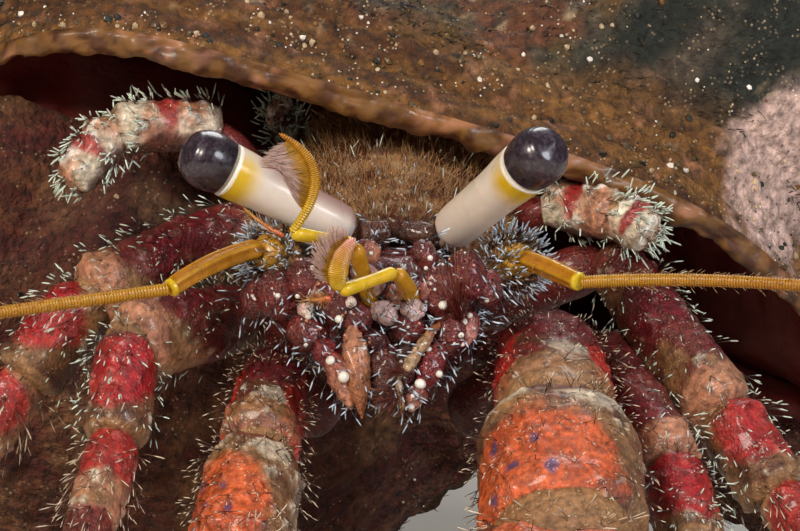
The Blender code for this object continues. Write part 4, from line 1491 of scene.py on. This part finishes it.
@dataclass
class Shield(Trunk):
    """Hard plate over the front of the back."""

    rows: int = 120
    columns: int = 300
    seed: int = 60

    SPAN = math.radians(72.0)
    LENGTH_ALONG = 12.6
    THICKNESS = 0.7

    def bare(self, u: Array, v: Array) -> Array:
        """Return a curved plate with rounded edges and a blunt rostrum."""
        turn = 2.0 * np.pi * u
        cosine, sine = np.cos(turn), np.sin(turn)
        angle = np.sign(cosine) * np.abs(cosine) ** 0.8 * self.SPAN
        thick = np.sign(sine) * np.abs(sine) ** 0.5
        ends = np.clip(1.0 - np.clip(1.0 - v / 0.04, 0, 1) ** 2, 0, 1)
        ends = np.sqrt(ends * np.clip(1.0 - np.clip(1.0 - (1.0 - v) / 0.04, 0, 1) ** 2, 0, 1))
        inset = self.THICKNESS * (0.5 - 0.5 * thick * ends)
        tooth = 0.7 * np.exp(-((angle / 0.12) ** 2))
        tooth += 0.4 * np.exp(-(((np.abs(angle) - 0.62) / 0.14) ** 2))
        along = self.LENGTH_ALONG * v + (1.0 - np.cos(angle)) * 0.8 - tooth * (1.0 - v) ** 6
        return self.outline(along, angle, inset)

    def lift(self, u: Array, v: Array, points: Array) -> Array:
        """Return cross wrinkles, grooves and grains on the plate."""
        wrinkle = 1.0 - np.abs(rough(points * np.array((0.6, 1.5, 1.0)), 0.8, self.seed))
        groove = np.exp(-(((v - 0.55 - 0.05 * np.cos(points[:, 0])) / 0.03) ** 2))
        rim = np.exp(-((v / 0.03) ** 2))
        face = step(0.0, 0.3, np.sin(2.0 * np.pi * u))
        return face * (0.1 * np.clip(wrinkle, 0, 1) ** 3 - 0.14 * groove + 0.1 * rim)

    def tint(self, u: Array, v: Array, points: Array, lift: Array) -> Array:
        """Return tan-brown with pale grains and maroon patches of painted shade."""
        cloud = step(-0.3, 0.4, rough(points, 1.3, self.seed + 1))
        colour = mix(np.repeat(Hue.BROWN.rgb[None], len(u), axis=0), Hue.TAN.rgb, cloud)
        grain = step(0.25, 0.6, noise(points, 0.4, self.seed + 4))
        colour = mix(colour, Hue.SAND.rgb, 0.5 * grain)
        # Painted shade: maroon patches darken the plate at random, standing in for shadows on it.
        return mix(colour, Hue.MAROON.rgb, 0.7 * step(0.3, 0.7, noise(points, 1.1, self.seed + 5)))


def lobe(start: Point, end: Point, radii: Sequence[float], *hues: Hue) -> Tube:
    """Return one soft lobe between two places in the camera's view.

    Args:
        start: across and down in the view, and depth in millimetres.
        end: the same for the far end.
        radii: half widths along it, in millimetres.
        hues: colours along it.

    Returns:
        A closed tube.
    """
    first, last = LENS.point(*start), LENS.point(*end)
    count = max(len(radii), 3)
    path = [first + (last - first) * t for t in np.linspace(0.0, 1.0, count)]
    made = Tube(path, radii, rows=36, columns=32, caps=(0.35, 0.35))
    made.colours, made.lump, made.lump_size = hues, 0.15, 0.3
    made.seed = int(start[0] + end[1])
    return made


class Head:
    """Body, shield, mouth and the beads and bristles on them."""

    LOBES = (
        ((352, 268, -1.6), (382, 292, -2.0), (0.45, 0.7, 0.6), Hue.PINK, Hue.SHELL_PINK),
        ((372, 304, -2.2), (398, 322, -2.4), (0.38, 0.55, 0.42), Hue.LAVENDER, Hue.LAVENDER),
        ((402, 316, -2.4), (424, 304, -2.2), (0.45, 0.55, 0.4), Hue.LAVENDER, Hue.LAVENDER),
        ((412, 300, -1.9), (446, 280, -1.6), (0.5, 0.65, 0.45), Hue.WINE, Hue.PINK),
        ((386, 290, -2.0), (408, 300, -2.1), (0.4, 0.5, 0.4), Hue.WINE, Hue.SALMON),
        ((330, 262, -1.4), (344, 330, -2.2), (0.8, 1.0, 0.7), Hue.WINE, Hue.MAROON),
        ((352, 300, -1.9), (362, 336, -2.3), (0.6, 0.75, 0.5), Hue.MAROON, Hue.WINE),
        ((318, 276, -1.6), (330, 312, -2.2), (0.5, 0.6, 0.45), Hue.SALMON, Hue.WINE),
        ((430, 262, -1.2), (450, 320, -2.0), (0.8, 0.95, 0.7), Hue.MAROON, Hue.WINE),
        ((424, 322, -2.2), (392, 340, -2.4), (0.6, 0.8, 0.5), Hue.WINE, Hue.MAROON),
        ((380, 330, -2.2), (370, 356, -2.4), (0.6, 0.7, 0.5), Hue.MAROON, Hue.MAROON),
        ((306, 258, -1.2), (302, 300, -2.0), (0.6, 0.75, 0.5), Hue.MAROON, Hue.WINE),
        ((300, 305, -2.3), (312, 314, -2.6), (0.25, 0.34, 0.24), Hue.PINK, Hue.BONE),
        ((346, 300, -2.5), (356, 305, -2.7), (0.2, 0.26, 0.2), Hue.PINK, Hue.BONE),
        ((360, 240, -1.6), (376, 262, -1.9), (0.35, 0.5, 0.4), Hue.WINE, Hue.SALMON),
        ((340, 252, -1.5), (356, 262, -1.9), (0.35, 0.45, 0.3), Hue.CRIMSON, Hue.WINE),
        ((418, 240, -1.4), (432, 270, -1.7), (0.4, 0.55, 0.4), Hue.MAROON, Hue.WINE),
        ((460, 250, -1.0), (474, 300, -1.8), (0.7, 0.9, 0.6), Hue.MAROON, Hue.CRIMSON),
        ((480, 268, -0.8), (492, 310, -1.4), (0.6, 0.8, 0.5), Hue.WINE, Hue.MAROON),
        ((274, 270, -0.4), (286, 320, -1.4), (0.9, 1.1, 0.8), Hue.MAROON, Hue.WINE),
        ((258, 280, 0.4), (262, 322, -0.4), (0.8, 0.95, 0.7), Hue.WINE, Hue.MAROON),
        ((296, 316, -1.8), (318, 352, -2.6), (0.7, 0.8, 0.55), Hue.WINE, Hue.MAROON),
        ((316, 340, -2.6), (336, 366, -3.2), (0.45, 0.55, 0.4), Hue.WINE, Hue.CRIMSON),
        ((332, 352, -3.2), (352, 410, -4.2), (0.55, 0.55, 0.16), Hue.WINE, Hue.SALMON),
        ((352, 325, -2.8), (362, 420, -4.6), (0.5, 0.62, 0.5, 0.12), Hue.SALMON, Hue.RUST),
        ((454, 312, -2.0), (446, 352, -2.8), (0.6, 0.75, 0.5), Hue.MAROON, Hue.WINE),
        ((474, 312, -1.8), (462, 346, -2.4), (0.4, 0.5, 0.35), Hue.WINE, Hue.PINK),
        ((440, 342, -2.9), (420, 390, -3.8), (0.5, 0.6, 0.42), Hue.WINE, Hue.CRIMSON),
        ((420, 384, -3.8), (410, 412, -4.2), (0.42, 0.42, 0.2), Hue.CRIMSON, Hue.SALMON),
        ((440, 322, -3.0), (398, 380, -4.2), (0.22, 0.26, 0.2), Hue.RUST, Hue.SAND),
        ((398, 378, -4.2), (402, 416, -4.6), (0.2, 0.18, 0.1), Hue.SAND, Hue.RUST),
        ((388, 344, -2.6), (384, 400, -3.8), (0.7, 0.8, 0.5), Hue.MAROON, Hue.UMBER),
        ((410, 344, -2.6), (404, 392, -3.6), (0.7, 0.7, 0.4), Hue.UMBER, Hue.MAROON),
    )
    BEADS = (
        (349, 256, 0.15), (351, 263, 0.12), (338, 261, 0.14), (430, 258, 0.13), (404, 269, 0.13),
        (397, 306, 0.17), (443, 305, 0.2), (339, 319, 0.19), (308, 316, 0.16), (331, 361, 0.22),
        (343, 377, 0.26), (420, 385, 0.26), (439, 374, 0.17), (429, 350, 0.15), (412, 407, 0.14),
        (464, 322, 0.15), (470, 316, 0.14), (364, 348, 0.12), (402, 266, 0.1), (453, 252, 0.12),
        (413, 396, 0.11), (306, 345, 0.1), (448, 248, 0.1), (426, 268, 0.1), (414, 282, 0.09),
        (312, 268, 0.12), (322, 265, 0.1), (298, 296, 0.12), (278, 296, 0.13), (461, 335, 0.14),
        (462, 344, 0.12), (271, 268, 0.12), (487, 300, 0.12), (344, 270, 0.1), (371, 253, 0.1),
    )
    FANS = (  # base, spread of the tips and their hairs' number and length
        ((459, 318), ((420, 262), (440, 250), (462, 248), (484, 266)), 70, 2.9),
        ((404, 372), ((378, 344), (372, 366), (376, 392)), 46, 1.7),
        ((398, 396), ((374, 372), (372, 400), (388, 424)), 46, 1.6),
        ((372, 398), ((392, 370), (400, 392), (392, 416)), 36, 1.4),
        ((368, 288), ((358, 262), (372, 258)), 14, 1.3),
    )

    SMALL_BEADS = 90
    BACK_HAIRS = 7500
    LONG_BACK_HAIRS = 120

    def build(self) -> None:
        """Make everything between the eyes and the soft hind body."""
        trunk = Trunk()
        face = Tube(
            ((0, 3.9, 18.8), (0, 2.2, 19.2), (0, 1.0, 19.6), (0, 0.1, 20.0), (0, -0.9, 20.2)),
            (3.7, 3.7, 3.4, 2.8, 1.6),
            (3.4, 3.4, 3.0, 2.4, 1.3),
            rows=60,
            columns=110,
            caps=(0.1, 0.12),
        )
        face.colours, face.lump, face.lump_size = (Hue.MAROON, Hue.WINE), 0.3, 0.9
        face.across = (1.0, 0.0, 0.0)
        roots = []
        for eye in EYES:
            root = Tube(eye.root, (0.62, 0.55, 0.5), rows=20, columns=24)
            # The roots run from umber, painted shade between the eyestalks' bases under the
            # shield's edge, to brown.
            root.colours, root.lump = (Hue.UMBER, Hue.BROWN), 0.2
            roots.append(root)
        lobes = [lobe(*row) for row in self.LOBES]
        nodes = ["cephalothorax", "face"]
        nodes += [f"eye_root_{side}" for side in SIDES]
        nodes += [f"maxilliped_{side}_{part}" for side in SIDES for part in ("arm", "blade")]
        skin = gather("head", [trunk, face, *roots, *lobes], MOUTH, nodes)
        shield = Shield()
        gather("shield", [shield], BACK, ("shield",))
        tree = own_tree(skin)
        self.beads(tree)
        self.bristles(tree, trunk, face, shield, [*roots, *lobes])

    def beads(self, tree: BVHTree) -> None:
        """Make the white beads that stand on the mouth's lobes."""
        beads = []
        for index, (across, down, radius) in enumerate(self.BEADS):
            place, normal = LENS.strike(tree, across, down)
            path = [place + normal * radius * reach for reach in (-0.7, 0.2, 1.1)]
            bead = Tube(path, (radius * 0.9, radius, radius * 0.9), rows=12, columns=16)
            bead.caps, bead.seed = (0.45, 0.45), index
            bead.colours = (Hue.WINE, Hue.BONE, Hue.BONE) if index % 4 else (Hue.PINK, Hue.BONE)
            bead.across = (0.3, 0.2, 1.0)
            beads.append(bead)
        random = np.random.default_rng(73)
        for _ in range(self.SMALL_BEADS):
            across, down = random.uniform(292, 486), random.uniform(244, 350)
            place, normal = LENS.strike(tree, across, down)
            radius = random.uniform(0.045, 0.09)
            path = (place - normal * radius, place + normal * radius * 0.8)
            bead = Tube(path, (radius, radius * 0.9), rows=8, columns=10, caps=(0.45, 0.45))
            bead.colours = ((Hue.PINK, Hue.SALMON, Hue.BONE)[random.integers(3)],)
            bead.across = (0.3, 0.2, 1.0)
            beads.append(bead)
        gather("mouth_beads", beads, STALK)

    def bristles(
        self, tree: BVHTree, trunk: Surface, face: Surface, shield: Surface, lobes: list[Surface]
    ) -> None:
        """Grow the head's bristles: stiff ones, feathery fans and the back's fine hairs."""
        coat = Coat(71)
        ink, hair = BRISTLES["ink"], BRISTLES["hair"]
        coat.cover(trunk, 700, ink, crest=0.3, low=0.03, high=0.4)
        coat.next_cell()
        coat.cover(face, 260, ink, crest=0.0, low=0.2, high=0.95)
        coat.next_cell()
        for part in lobes:
            coat.cover(part, 16, ink, crest=0.0, low=0.1, high=0.9)
        coat.next_cell()
        for (across, down), tips, number, length in self.FANS:
            root, normal = LENS.strike(tree, across, down)
            plume = Bristle(length, Hue.WINE, Hue.SALMON, 0.014, 0.008, 0.8, 0.0, 0.03, 0.25)
            spread = np.linspace(0.0, 1.0, len(tips))
            ends = np.array([LENS.point(*tip, root[1] - 1.0) for tip in tips])
            share = coat.random.random(number)
            way = unit(spline(spread, ends, share) - root)
            roots = root + coat.random.normal(0.0, 0.12, (number, 3))
            size = coat.random.uniform(0.6, 1.0, number)
            coat.grow(roots, way, np.repeat(normal[None], number, axis=0), plume, None, size)
        coat.piece("mouth_bristles", BRISTLE, "mouth_bristle")
        back = Coat(72)
        back.cover(shield, self.BACK_HAIRS, hair, crest=1.0, low=0.0, high=0.98)
        back.next_cell()
        long = Bristle(1.3, Hue.BROWN, Hue.PALE_GREEN, 0.016, 0.03, 0.6, 0.3, 0.3)
        back.cover(shield, self.LONG_BACK_HAIRS, long, crest=1.0, low=0.0, high=0.95)
        back.piece("shield_hairs", HAIR, "bristle")


def own_tree(piece: bpy.types.Object) -> BVHTree:
    """Return a piece's surface in the crab's own axes, for finding places on it."""
    mesh = piece.data
    flat = np.empty(len(mesh.vertices) * 3, dtype=np.float32)
    mesh.vertices.foreach_get("co", flat)
    points = flat.reshape(-1, 3) / MM - PLACE
    faces = [tuple(face.vertices) for face in mesh.polygons]
    return BVHTree.FromPolygons([Vector(point) for point in points], faces)


# ------------------------------------------------------------------------------- shell
class Spiral:
    """Growth spiral of the snail shell, in the shell's own cylinder axes."""

    RATIO = 1.7
    LIP_RADIUS = 23.0
    LENGTH = 70.0
    SUTURE = 16.0
    DIP = math.radians(16.0)
    LEAN = math.radians(50.0)
    MIDDLE = np.array((0.2, 7.0, 28.5))
    MIDDLE_SHARE = 0.40
    PEAK = 0.3
    CANAL_START = 0.9
    CANAL_WIDTH = 0.3
    CANAL_END = 0.16
    PILLAR = 3.4
    BLEND = 4

    def __init__(self) -> None:
        """Work out the axes and the lip's rear corner."""
        turn = (self.RATIO - 1.0) * self.SUTURE / (self.LENGTH - self.SUTURE)
        rise = 1.0 - (1.0 - turn / self.PEAK) ** 4
        self.corner = rise / (self.RATIO - 1.0 + rise)
        self.axis = np.array((math.cos(self.DIP), 0.0, -math.sin(self.DIP)))
        upward = np.array((math.sin(self.DIP), 0.0, math.cos(self.DIP)))
        self.lip = upward * math.cos(self.LEAN) + np.array((0.0, -1.0, 0.0)) * math.sin(self.LEAN)
        self.growth = np.cross(self.axis, self.lip)
        middle = self.SUTURE + self.MIDDLE_SHARE * (self.LENGTH - self.SUTURE)
        reach = float(self.lip_outline(np.array([self.MIDDLE_SHARE]))[0])
        self.apex = self.MIDDLE - self.axis * middle - self.lip * reach

    def lip_outline(self, share: Array) -> Array:
        """Return the outer lip's distance from the axis, from its rear corner to its front."""
        share = np.clip(share, 0.0, 1.0)
        rise = 1.0 - (1.0 - np.minimum(share, self.PEAK) / self.PEAK) ** 4
        rear = self.corner + (1.0 - self.corner) * rise
        past = np.clip((share - self.PEAK) / (self.CANAL_START - self.PEAK), 0.0, 1.0)
        front = 1.0 - (1.0 - self.CANAL_WIDTH) * past**5
        canal = np.clip((share - self.CANAL_START) / (1.0 - self.CANAL_START), 0.0, 1.0)
        front = front + (self.CANAL_END - self.CANAL_WIDTH) * canal
        return self.LIP_RADIUS * np.where(share < self.PEAK, rear, front)

    def radius(self, turn: Array, distance: Array) -> Array:
        """Return the outer radius at an angle back from the lip and a distance from the apex."""
        scale = self.RATIO ** (-turn / (2.0 * np.pi))
        grown = distance / scale
        older = np.log(self.SUTURE / np.maximum(grown, 1e-3)) / np.log(self.RATIO)
        older = np.clip(np.ceil(older), 0, 8)
        grown = grown * self.RATIO**older
        outline = self.lip_outline((grown - self.SUTURE) / (self.LENGTH - self.SUTURE))
        outline = outline * scale / self.RATIO**older
        outline = np.where(distance < scale * self.LENGTH, outline, 0.0)
        pillar = np.minimum(self.PILLAR, 0.3 * distance)
        pillar = np.minimum(pillar, 1.6 + 0.25 * (self.LENGTH - distance))
        return (outline**self.BLEND + pillar**self.BLEND) ** (1.0 / self.BLEND)

    def point(self, turn: Array, distance: Array, radius: Array) -> Array:
        """Return points from their cylinder coordinates."""
        outward = self.lip * np.cos(turn)[:, None] - self.growth * np.sin(turn)[:, None]
        return self.apex + self.axis * distance[:, None] + outward * radius[:, None]


SPIRAL = Spiral()


@dataclass
class ShellOutside(Surface):
    """Outer face of the shell, under its crust."""

    rows: int = 330
    columns: int = 260
    seed: int = 80

    GROWTH = np.array((15.7, 20.3, 27.6))  # middle of a thick growth on the crust
    GROWTH_HEIGHT = 8.0
    GROWTH_REACH = 14.0
    SCAR = np.array((17.5, 13.0, 23.0))  # middle of a pale pink patch

    def place_rows(self, share: Array) -> Array:
        """Return evenly spaced rows."""
        return share

    def turn(self, u: Array) -> Array:
        """Return the angle back from the lip; columns crowd towards the lip."""
        return 2.0 * np.pi * (0.25 * u + 0.75 * u**2)

    def bare(self, u: Array, v: Array) -> Array:
        """Return the smooth surface's points."""
        turn, distance = self.turn(u), SPIRAL.LENGTH * v
        return SPIRAL.point(turn, distance, SPIRAL.radius(turn, distance))

    def lift(self, u: Array, v: Array, points: Array) -> Array:
        """Return growth lines, dents, crust and one thick growth, all low at the lip's edge."""
        turn = self.turn(u)
        near = turn * SPIRAL.LIP_RADIUS
        wave = 0.5 * noise(points, 4.0, self.seed)
        lines = 0.10 * np.sin(near * 2.4 + 3.0 * wave) + 0.05 * np.sin(near * 6.0 + 4.0 * wave)
        crust = np.clip(rough(points, 2.4, self.seed + 2, 4) + 0.15, 0.0, 1.0)
        crust = crust * step(1.2, 5.0, near)
        fine = 0.22 * rough(points, 0.6, self.seed + 6) * step(0.0, 2.5, near)
        far = np.linalg.norm(points - self.GROWTH, axis=1) + 1.5 * noise(points, 4.0, self.seed + 7)
        growth = self.GROWTH_HEIGHT * step(self.GROWTH_REACH, 1.0, far) * step(1.5, 9.0, near)
        ends = step(0.0, 0.02, v) * step(1.0, 0.985, v)
        return (lines + 1.1 * crust + fine + growth) * ends * step(-0.1, 0.6, near)

    def tint(self, u: Array, v: Array, points: Array, lift: Array) -> Array:
        """Return a brown band along the lip, dark crust behind it, and a pale pink patch."""
        near = self.turn(u) * SPIRAL.LIP_RADIUS + 1.2 * rough(points, 2.5, self.seed + 9)
        across = np.column_stack((near * 1.4, SPIRAL.LENGTH * v * 0.14, v * 0.0))
        streak = step(-0.4, 0.5, rough(across, 1.0, self.seed + 10))
        band = mix(np.repeat(Hue.LIP.rgb[None], len(u), axis=0), Hue.BARK.rgb, 0.8 * streak)
        blush = step(0.2, 0.6, rough(points, 0.8, self.seed + 16))
        band = mix(band, Hue.SALMON.rgb, 0.35 * blush)
        olive = step(-0.3, 0.4, rough(points, 3.0, self.seed + 11))
        crust = mix(np.repeat(Hue.BROWN.rgb[None], len(u), axis=0), Hue.OLIVE.rgb, olive)
        dark = rough(points, 2.0, self.seed + 12) + 0.5 * step(0.0, 12.0, points[:, 0])
        crust = mix(crust, Hue.GREY.rgb, 0.8 * step(0.0, 0.4, dark))
        crust = mix(crust, Hue.SLATE.rgb, step(0.3, 0.7, dark))
        colour = mix(band, crust, step(3.0, 6.4, near))
        pale = step(0.4, 0.7, rough(points, 0.7, self.seed + 13)) * step(1.5, 4.0, near)
        colour = mix(colour, Hue.SAND.rgb, 0.6 * pale)
        old = step(0.62, 0.8, u) * step(0.14, 0.2, v)
        glaze = mix(Hue.MAROON.rgb[None] * np.ones((len(u), 1)), Hue.BROWN.rgb, 0.8 * streak)
        glaze = mix(glaze, Hue.TAN.rgb, 0.5 * step(0.0, 0.6, rough(points, 2.2, self.seed + 15)))
        colour = mix(colour, glaze, 0.9 * old)
        pink = np.linalg.norm(points - self.SCAR, axis=1)
        pink = pink + 1.6 * rough(points, 1.5, self.seed + 14)
        return mix(colour, Hue.SHELL_PINK.rgb, step(4.2, 2.6, pink))


@dataclass
class ShellInside(Surface):
    """Mouth of the shell: the inner wall, the hollow and the rounded edge of the lip."""

    rows: int = 254
    columns: int = 230
    seed: int = 90

    WALL = 1.5
    CALLUS = 0.7
    DEPTH = math.radians(250.0)
    BACK = 0.35  # share of the columns on the pillar's side
    EDGE = 0.9  # share from which the columns round the lip's edge

    def place_rows(self, share: Array) -> Array:
        """Return evenly spaced rows, level with those of the outer face."""
        return share

    def turn(self, u: Array) -> Array:
        """Return the angle back from the lip along the loop into the hollow and out again."""
        inward = np.clip(u / self.BACK, 0.0, 1.0) ** 1.4
        outward = np.clip((self.EDGE - u) / (self.EDGE - self.BACK), 0.0, 1.0) ** 1.8
        return self.DEPTH * np.where(u < self.BACK, inward, outward)

    def bare(self, u: Array, v: Array) -> Array:
        """Return the smooth surface's points."""
        turn = self.turn(u)
        scale = SPIRAL.RATIO ** (-turn / (2.0 * np.pi))
        distance = scale * (SPIRAL.SUTURE + v * (SPIRAL.LENGTH - SPIRAL.SUTURE))
        inner = SPIRAL.radius(turn + 2.0 * np.pi, distance) + self.CALLUS * step(0.0, 0.4, turn)
        whole = scale * SPIRAL.lip_outline(v)
        thin = np.minimum(1.0, np.minimum(v, 1.0 - v) / 0.04)
        outer = np.maximum(whole - self.WALL * thin, inner + 0.02)
        outer = np.where(turn > 0.0, outer, np.minimum(outer, whole))
        middle = (inner + outer) / 2.0
        deep = np.clip((turn - self.DEPTH + 0.6) / 0.6, 0.0, 1.0)
        closing = np.sqrt(1.0 - deep**2)
        inner, outer = middle + (inner - middle) * closing, middle + (outer - middle) * closing
        lap = np.clip((u - self.EDGE) / (1.0 - self.EDGE), 0.0, 1.0) * np.pi
        edge = (whole + outer) / 2.0 - (whole - outer) / 2.0 * np.cos(lap)
        radius = np.where(u < self.BACK, inner, np.where(u > self.EDGE, edge, outer))
        swing = -np.sin(lap) * (whole - outer) / 2.0 / np.maximum(whole, 1.0)
        return SPIRAL.point(turn + swing, distance, radius)

    def lift(self, u: Array, v: Array, points: Array) -> Array:
        """Return low ripples and chips in the lip's edge."""
        free = step(1.0, 0.985, u) * step(0.0, 0.02, v) * step(1.0, 0.98, v) * step(0.0, 0.02, u)
        edge = step(0.8, 0.95, u)
        return free * (0.1 + 0.36 * edge) * rough(points, 1.2, self.seed, 4)

    def tint(self, u: Array, v: Array, points: Array, lift: Array) -> Array:
        """Return mauve and wine inside, darkened towards maroon by painted shade deeper in the
        hollow, and brown along the edge.
        """
        cloud = step(-0.4, 0.4, rough(points, 2.0, self.seed + 1))
        colour = mix(np.repeat(Hue.WINE.rgb[None], len(u), axis=0), Hue.MAUVE.rgb, 0.5 * cloud)
        # Painted shade: the wall darkens towards maroon the deeper it turns into the hollow.
        colour = mix(colour, Hue.MAROON.rgb, step(0.25, 1.5, self.turn(u)) * 0.5)
        edge = step(0.86, 0.93, u + 0.02 * rough(points, 1.0, self.seed + 2))
        fine = step(-0.2, 0.3, rough(points, 0.7, self.seed + 3))
        band = mix(Hue.LIP.rgb[None] * np.ones((len(u), 1)), Hue.BARK.rgb, 0.9 * fine)
        blush = step(0.1, 0.5, rough(points, 0.9, self.seed + 4))
        band = mix(band, Hue.SALMON.rgb, 0.45 * blush)
        return mix(colour, band, edge)


class Shell:
    """The sea snail's shell, and the grains and short weed that crust it."""

    FUZZ = 8000
    GRAINS = 5200

    def build(self) -> None:
        """Make the outside, the inside, the grains and the weed."""
        outside = ShellOutside()
        gather("shell_outside", [outside], CRUST, ("shell",))
        gather("shell_inside", [ShellInside()], NACRE)
        self.grains(outside)
        fuzz = Coat(96)
        short = Bristle(0.34, Hue.SLATE, Hue.OLIVE, 0.03, 0.02, 0.5, 0.5, 0.5, 0.5)
        u = fuzz.random.random(self.FUZZ) ** 1.5 * 0.75 + 0.1
        v = fuzz.random.uniform(0.03, 0.97, self.FUZZ)
        points, out, ahead = outside.at(u, v)
        kept = rough(points, 2.4, 82, 4) > -0.1
        place = np.column_stack((u, v))
        fuzz.grow(points[kept], out[kept], ahead[kept], short, place[kept])
        fuzz.piece("shell_fuzz", HAIR, "shell_crust")

    def grains(self, outside: ShellOutside) -> None:
        """Scatter grains of sand and lime over the crust."""
        random = np.random.default_rng(95)
        half = self.GRAINS // 2
        u = np.concatenate((random.random(half) ** 1.6, random.random(half) * 0.3))
        v = random.uniform(0.03, 0.97, self.GRAINS)
        points, out, _ = outside.at(u, v)
        kept = rough(points, 3.0, 84) > -0.05
        points, out = points[kept], out[kept]
        number = len(points)
        ball = bmesh.new()
        bmesh.ops.create_icosphere(ball, subdivisions=1, radius=1.0)
        shape = np.array([vertex.co for vertex in ball.verts])
        faces = np.array([[vertex.index for vertex in face.verts] for face in ball.faces])
        ball.free()
        size = 0.05 + 0.17 * random.random(number) ** 6
        body = shape[None] * random.uniform(0.6, 1.3, (number, len(shape), 1))
        body = points[:, None] + body * size[:, None, None] + (out * size[:, None] * 0.2)[:, None]
        hues = np.array([Hue.SAND.rgb, Hue.BONE.rgb, Hue.SLATE.rgb, Hue.OLIVE.rgb, Hue.LIP.rgb])
        pick = random.choice(len(hues), number, p=(0.26, 0.12, 0.26, 0.26, 0.1))
        mesh = bpy.data.meshes.new("shell_grains")
        joined = faces[None] + np.arange(number)[:, None, None] * len(shape)
        placed = (body.reshape(-1, 3) + PLACE) * MM
        placed[:, 2] = np.maximum(placed[:, 2], 0.0)
        mesh.from_pydata(placed, [], joined.reshape(-1, 3))
        paint(mesh, np.repeat(hues[pick], len(shape), axis=0))
        publish("shell_grains", mesh, BACK)


# ------------------------------------------------------------------------------- hind body
class HindBody:
    """Soft abdomen and tail fan, coiled round the shell's pillar."""

    END, TAIL = math.radians(190.0), math.radians(208.0)

    def coil(self, turn: float) -> Array:
        """Return the middle of the abdomen at an angle back from the lip."""
        scale = SPIRAL.RATIO ** (-turn / (2.0 * math.pi))
        settle = min(1.0, max(0.0, turn - math.radians(54.0)) / math.radians(50.0))
        radius = scale * SPIRAL.LIP_RADIUS * (0.68 - 0.05 * settle)
        place = SPIRAL.point(
            np.array([turn]), np.array([scale * SPIRAL.LENGTH * 0.60]), np.array([radius])
        )
        return place[0]

    def build(self) -> None:
        """Make the abdomen and the tail fan."""
        start = Trunk().outline(np.array([16.6]), np.array([0.0]), np.array([4.0]))[0]
        turns = np.linspace(math.radians(58.0), self.END, 8)
        path = [start] + [self.coil(turn) for turn in turns]
        girth = (3.4, 3.7, 3.9, 4.0, 3.8, 3.5, 3.1, 2.7, 2.3)
        soft = Ringed(path, girth, rows=160, columns=64, across=SPIRAL.axis)
        soft.rings, soft.groove, soft.colours = 6.0, 0.25, (Hue.WINE, Hue.SALMON, Hue.PINK)
        soft.caps = (0.05, 0.05)
        gather("abdomen", [soft], SOFT, ("abdomen",))
        path = [self.coil(turn) for turn in np.linspace(self.END + 0.01, self.TAIL, 4)]
        tail = Tube(path, (2.1, 2.3, 2.0, 1.2), (1.3, 1.4, 1.2, 0.7), rows=40, columns=50)
        tail.across, tail.colours, tail.lump = SPIRAL.axis, (Hue.TAN, Hue.SALMON), 0.12
        gather("tail_fan", [tail], CHITIN, ("tail_fan",))


# ------------------------------------------------------------------------------- stage
def light(name: str, place: Point, aim: Point, size: float, power: float, hue: str) -> None:
    """Add one soft light.

    Args:
        name: its name.
        place: where it is, in millimetres.
        aim: what it points at.
        size: its width in metres.
        power: in watts.
        hue: colour code.
    """
    data = bpy.data.lights.new(name, "AREA")
    data.shape, data.size, data.energy = "DISK", size, power
    data.color = linear(hue)
    made = bpy.data.objects.new(name, data)
    made.location = Vector(np.array(place) * MM)
    way = Vector(np.array(aim, dtype=float) - np.array(place, dtype=float))
    made.rotation_euler = way.to_track_quat("-Z", "Y").to_euler()
    bpy.context.scene.collection.objects.link(made)


LIGHTS = (
    ("key", (-160, -230, 220), (0, -5, 20), 0.11, 0.85, "fff4e6"),
    ("fill", (200, -200, 150), (0, -5, 20), 0.13, 0.5, "f2f5ff"),
    ("rim", (40, 220, 260), (0, 5, 25), 0.2, 0.5, "ffffff"),
)
FLOOR_COLOUR = "cfc8bd"
SKY_COLOUR, SKY_STRENGTH = "d8dade", 0.10


def make_stage() -> None:
    """Lay a plain pale floor and set soft lights round the model."""
    bm = bmesh.new()
    bmesh.ops.create_grid(bm, x_segments=1, y_segments=1, size=1.5)
    mesh = bpy.data.meshes.new("floor")
    bm.to_mesh(mesh)
    bm.free()
    made = bpy.data.materials.new("pale_floor")
    made.use_nodes = True
    shader = made.node_tree.nodes["Principled BSDF"]
    shader.inputs["Base Color"].default_value = (*linear(FLOOR_COLOUR), 1.0)
    shader.inputs["Roughness"].default_value = 0.85
    mesh.materials.append(made)
    floor = bpy.data.objects.new("floor", mesh)
    bpy.context.scene.collection.objects.link(floor)
    world = bpy.data.worlds.new("studio")
    world.use_nodes = True
    sky = world.node_tree.nodes["Background"]
    sky.inputs["Color"].default_value = (*linear(SKY_COLOUR), 1.0)
    sky.inputs["Strength"].default_value = SKY_STRENGTH
    bpy.context.scene.world = world
    for row in LIGHTS:
        light(*row)
    bpy.context.scene.view_settings.view_transform = "Standard"


# ------------------------------------------------------------------------------- main
def main() -> None:
    """Build every piece in order."""
    logging.basicConfig(level=logging.INFO, format="%(name)s: %(message)s")
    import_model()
    LENS.make()
    make_stage()
    Shell().build()
    Head().build()
    for eye in EYES:
        eye.build()
    Feelers().build()
    for limb in (*WALKING_LEGS, *CHELIPEDS, *REAR_LEGS):
        limb.build()
    HindBody().build()


if __name__ == "__main__":
    main()
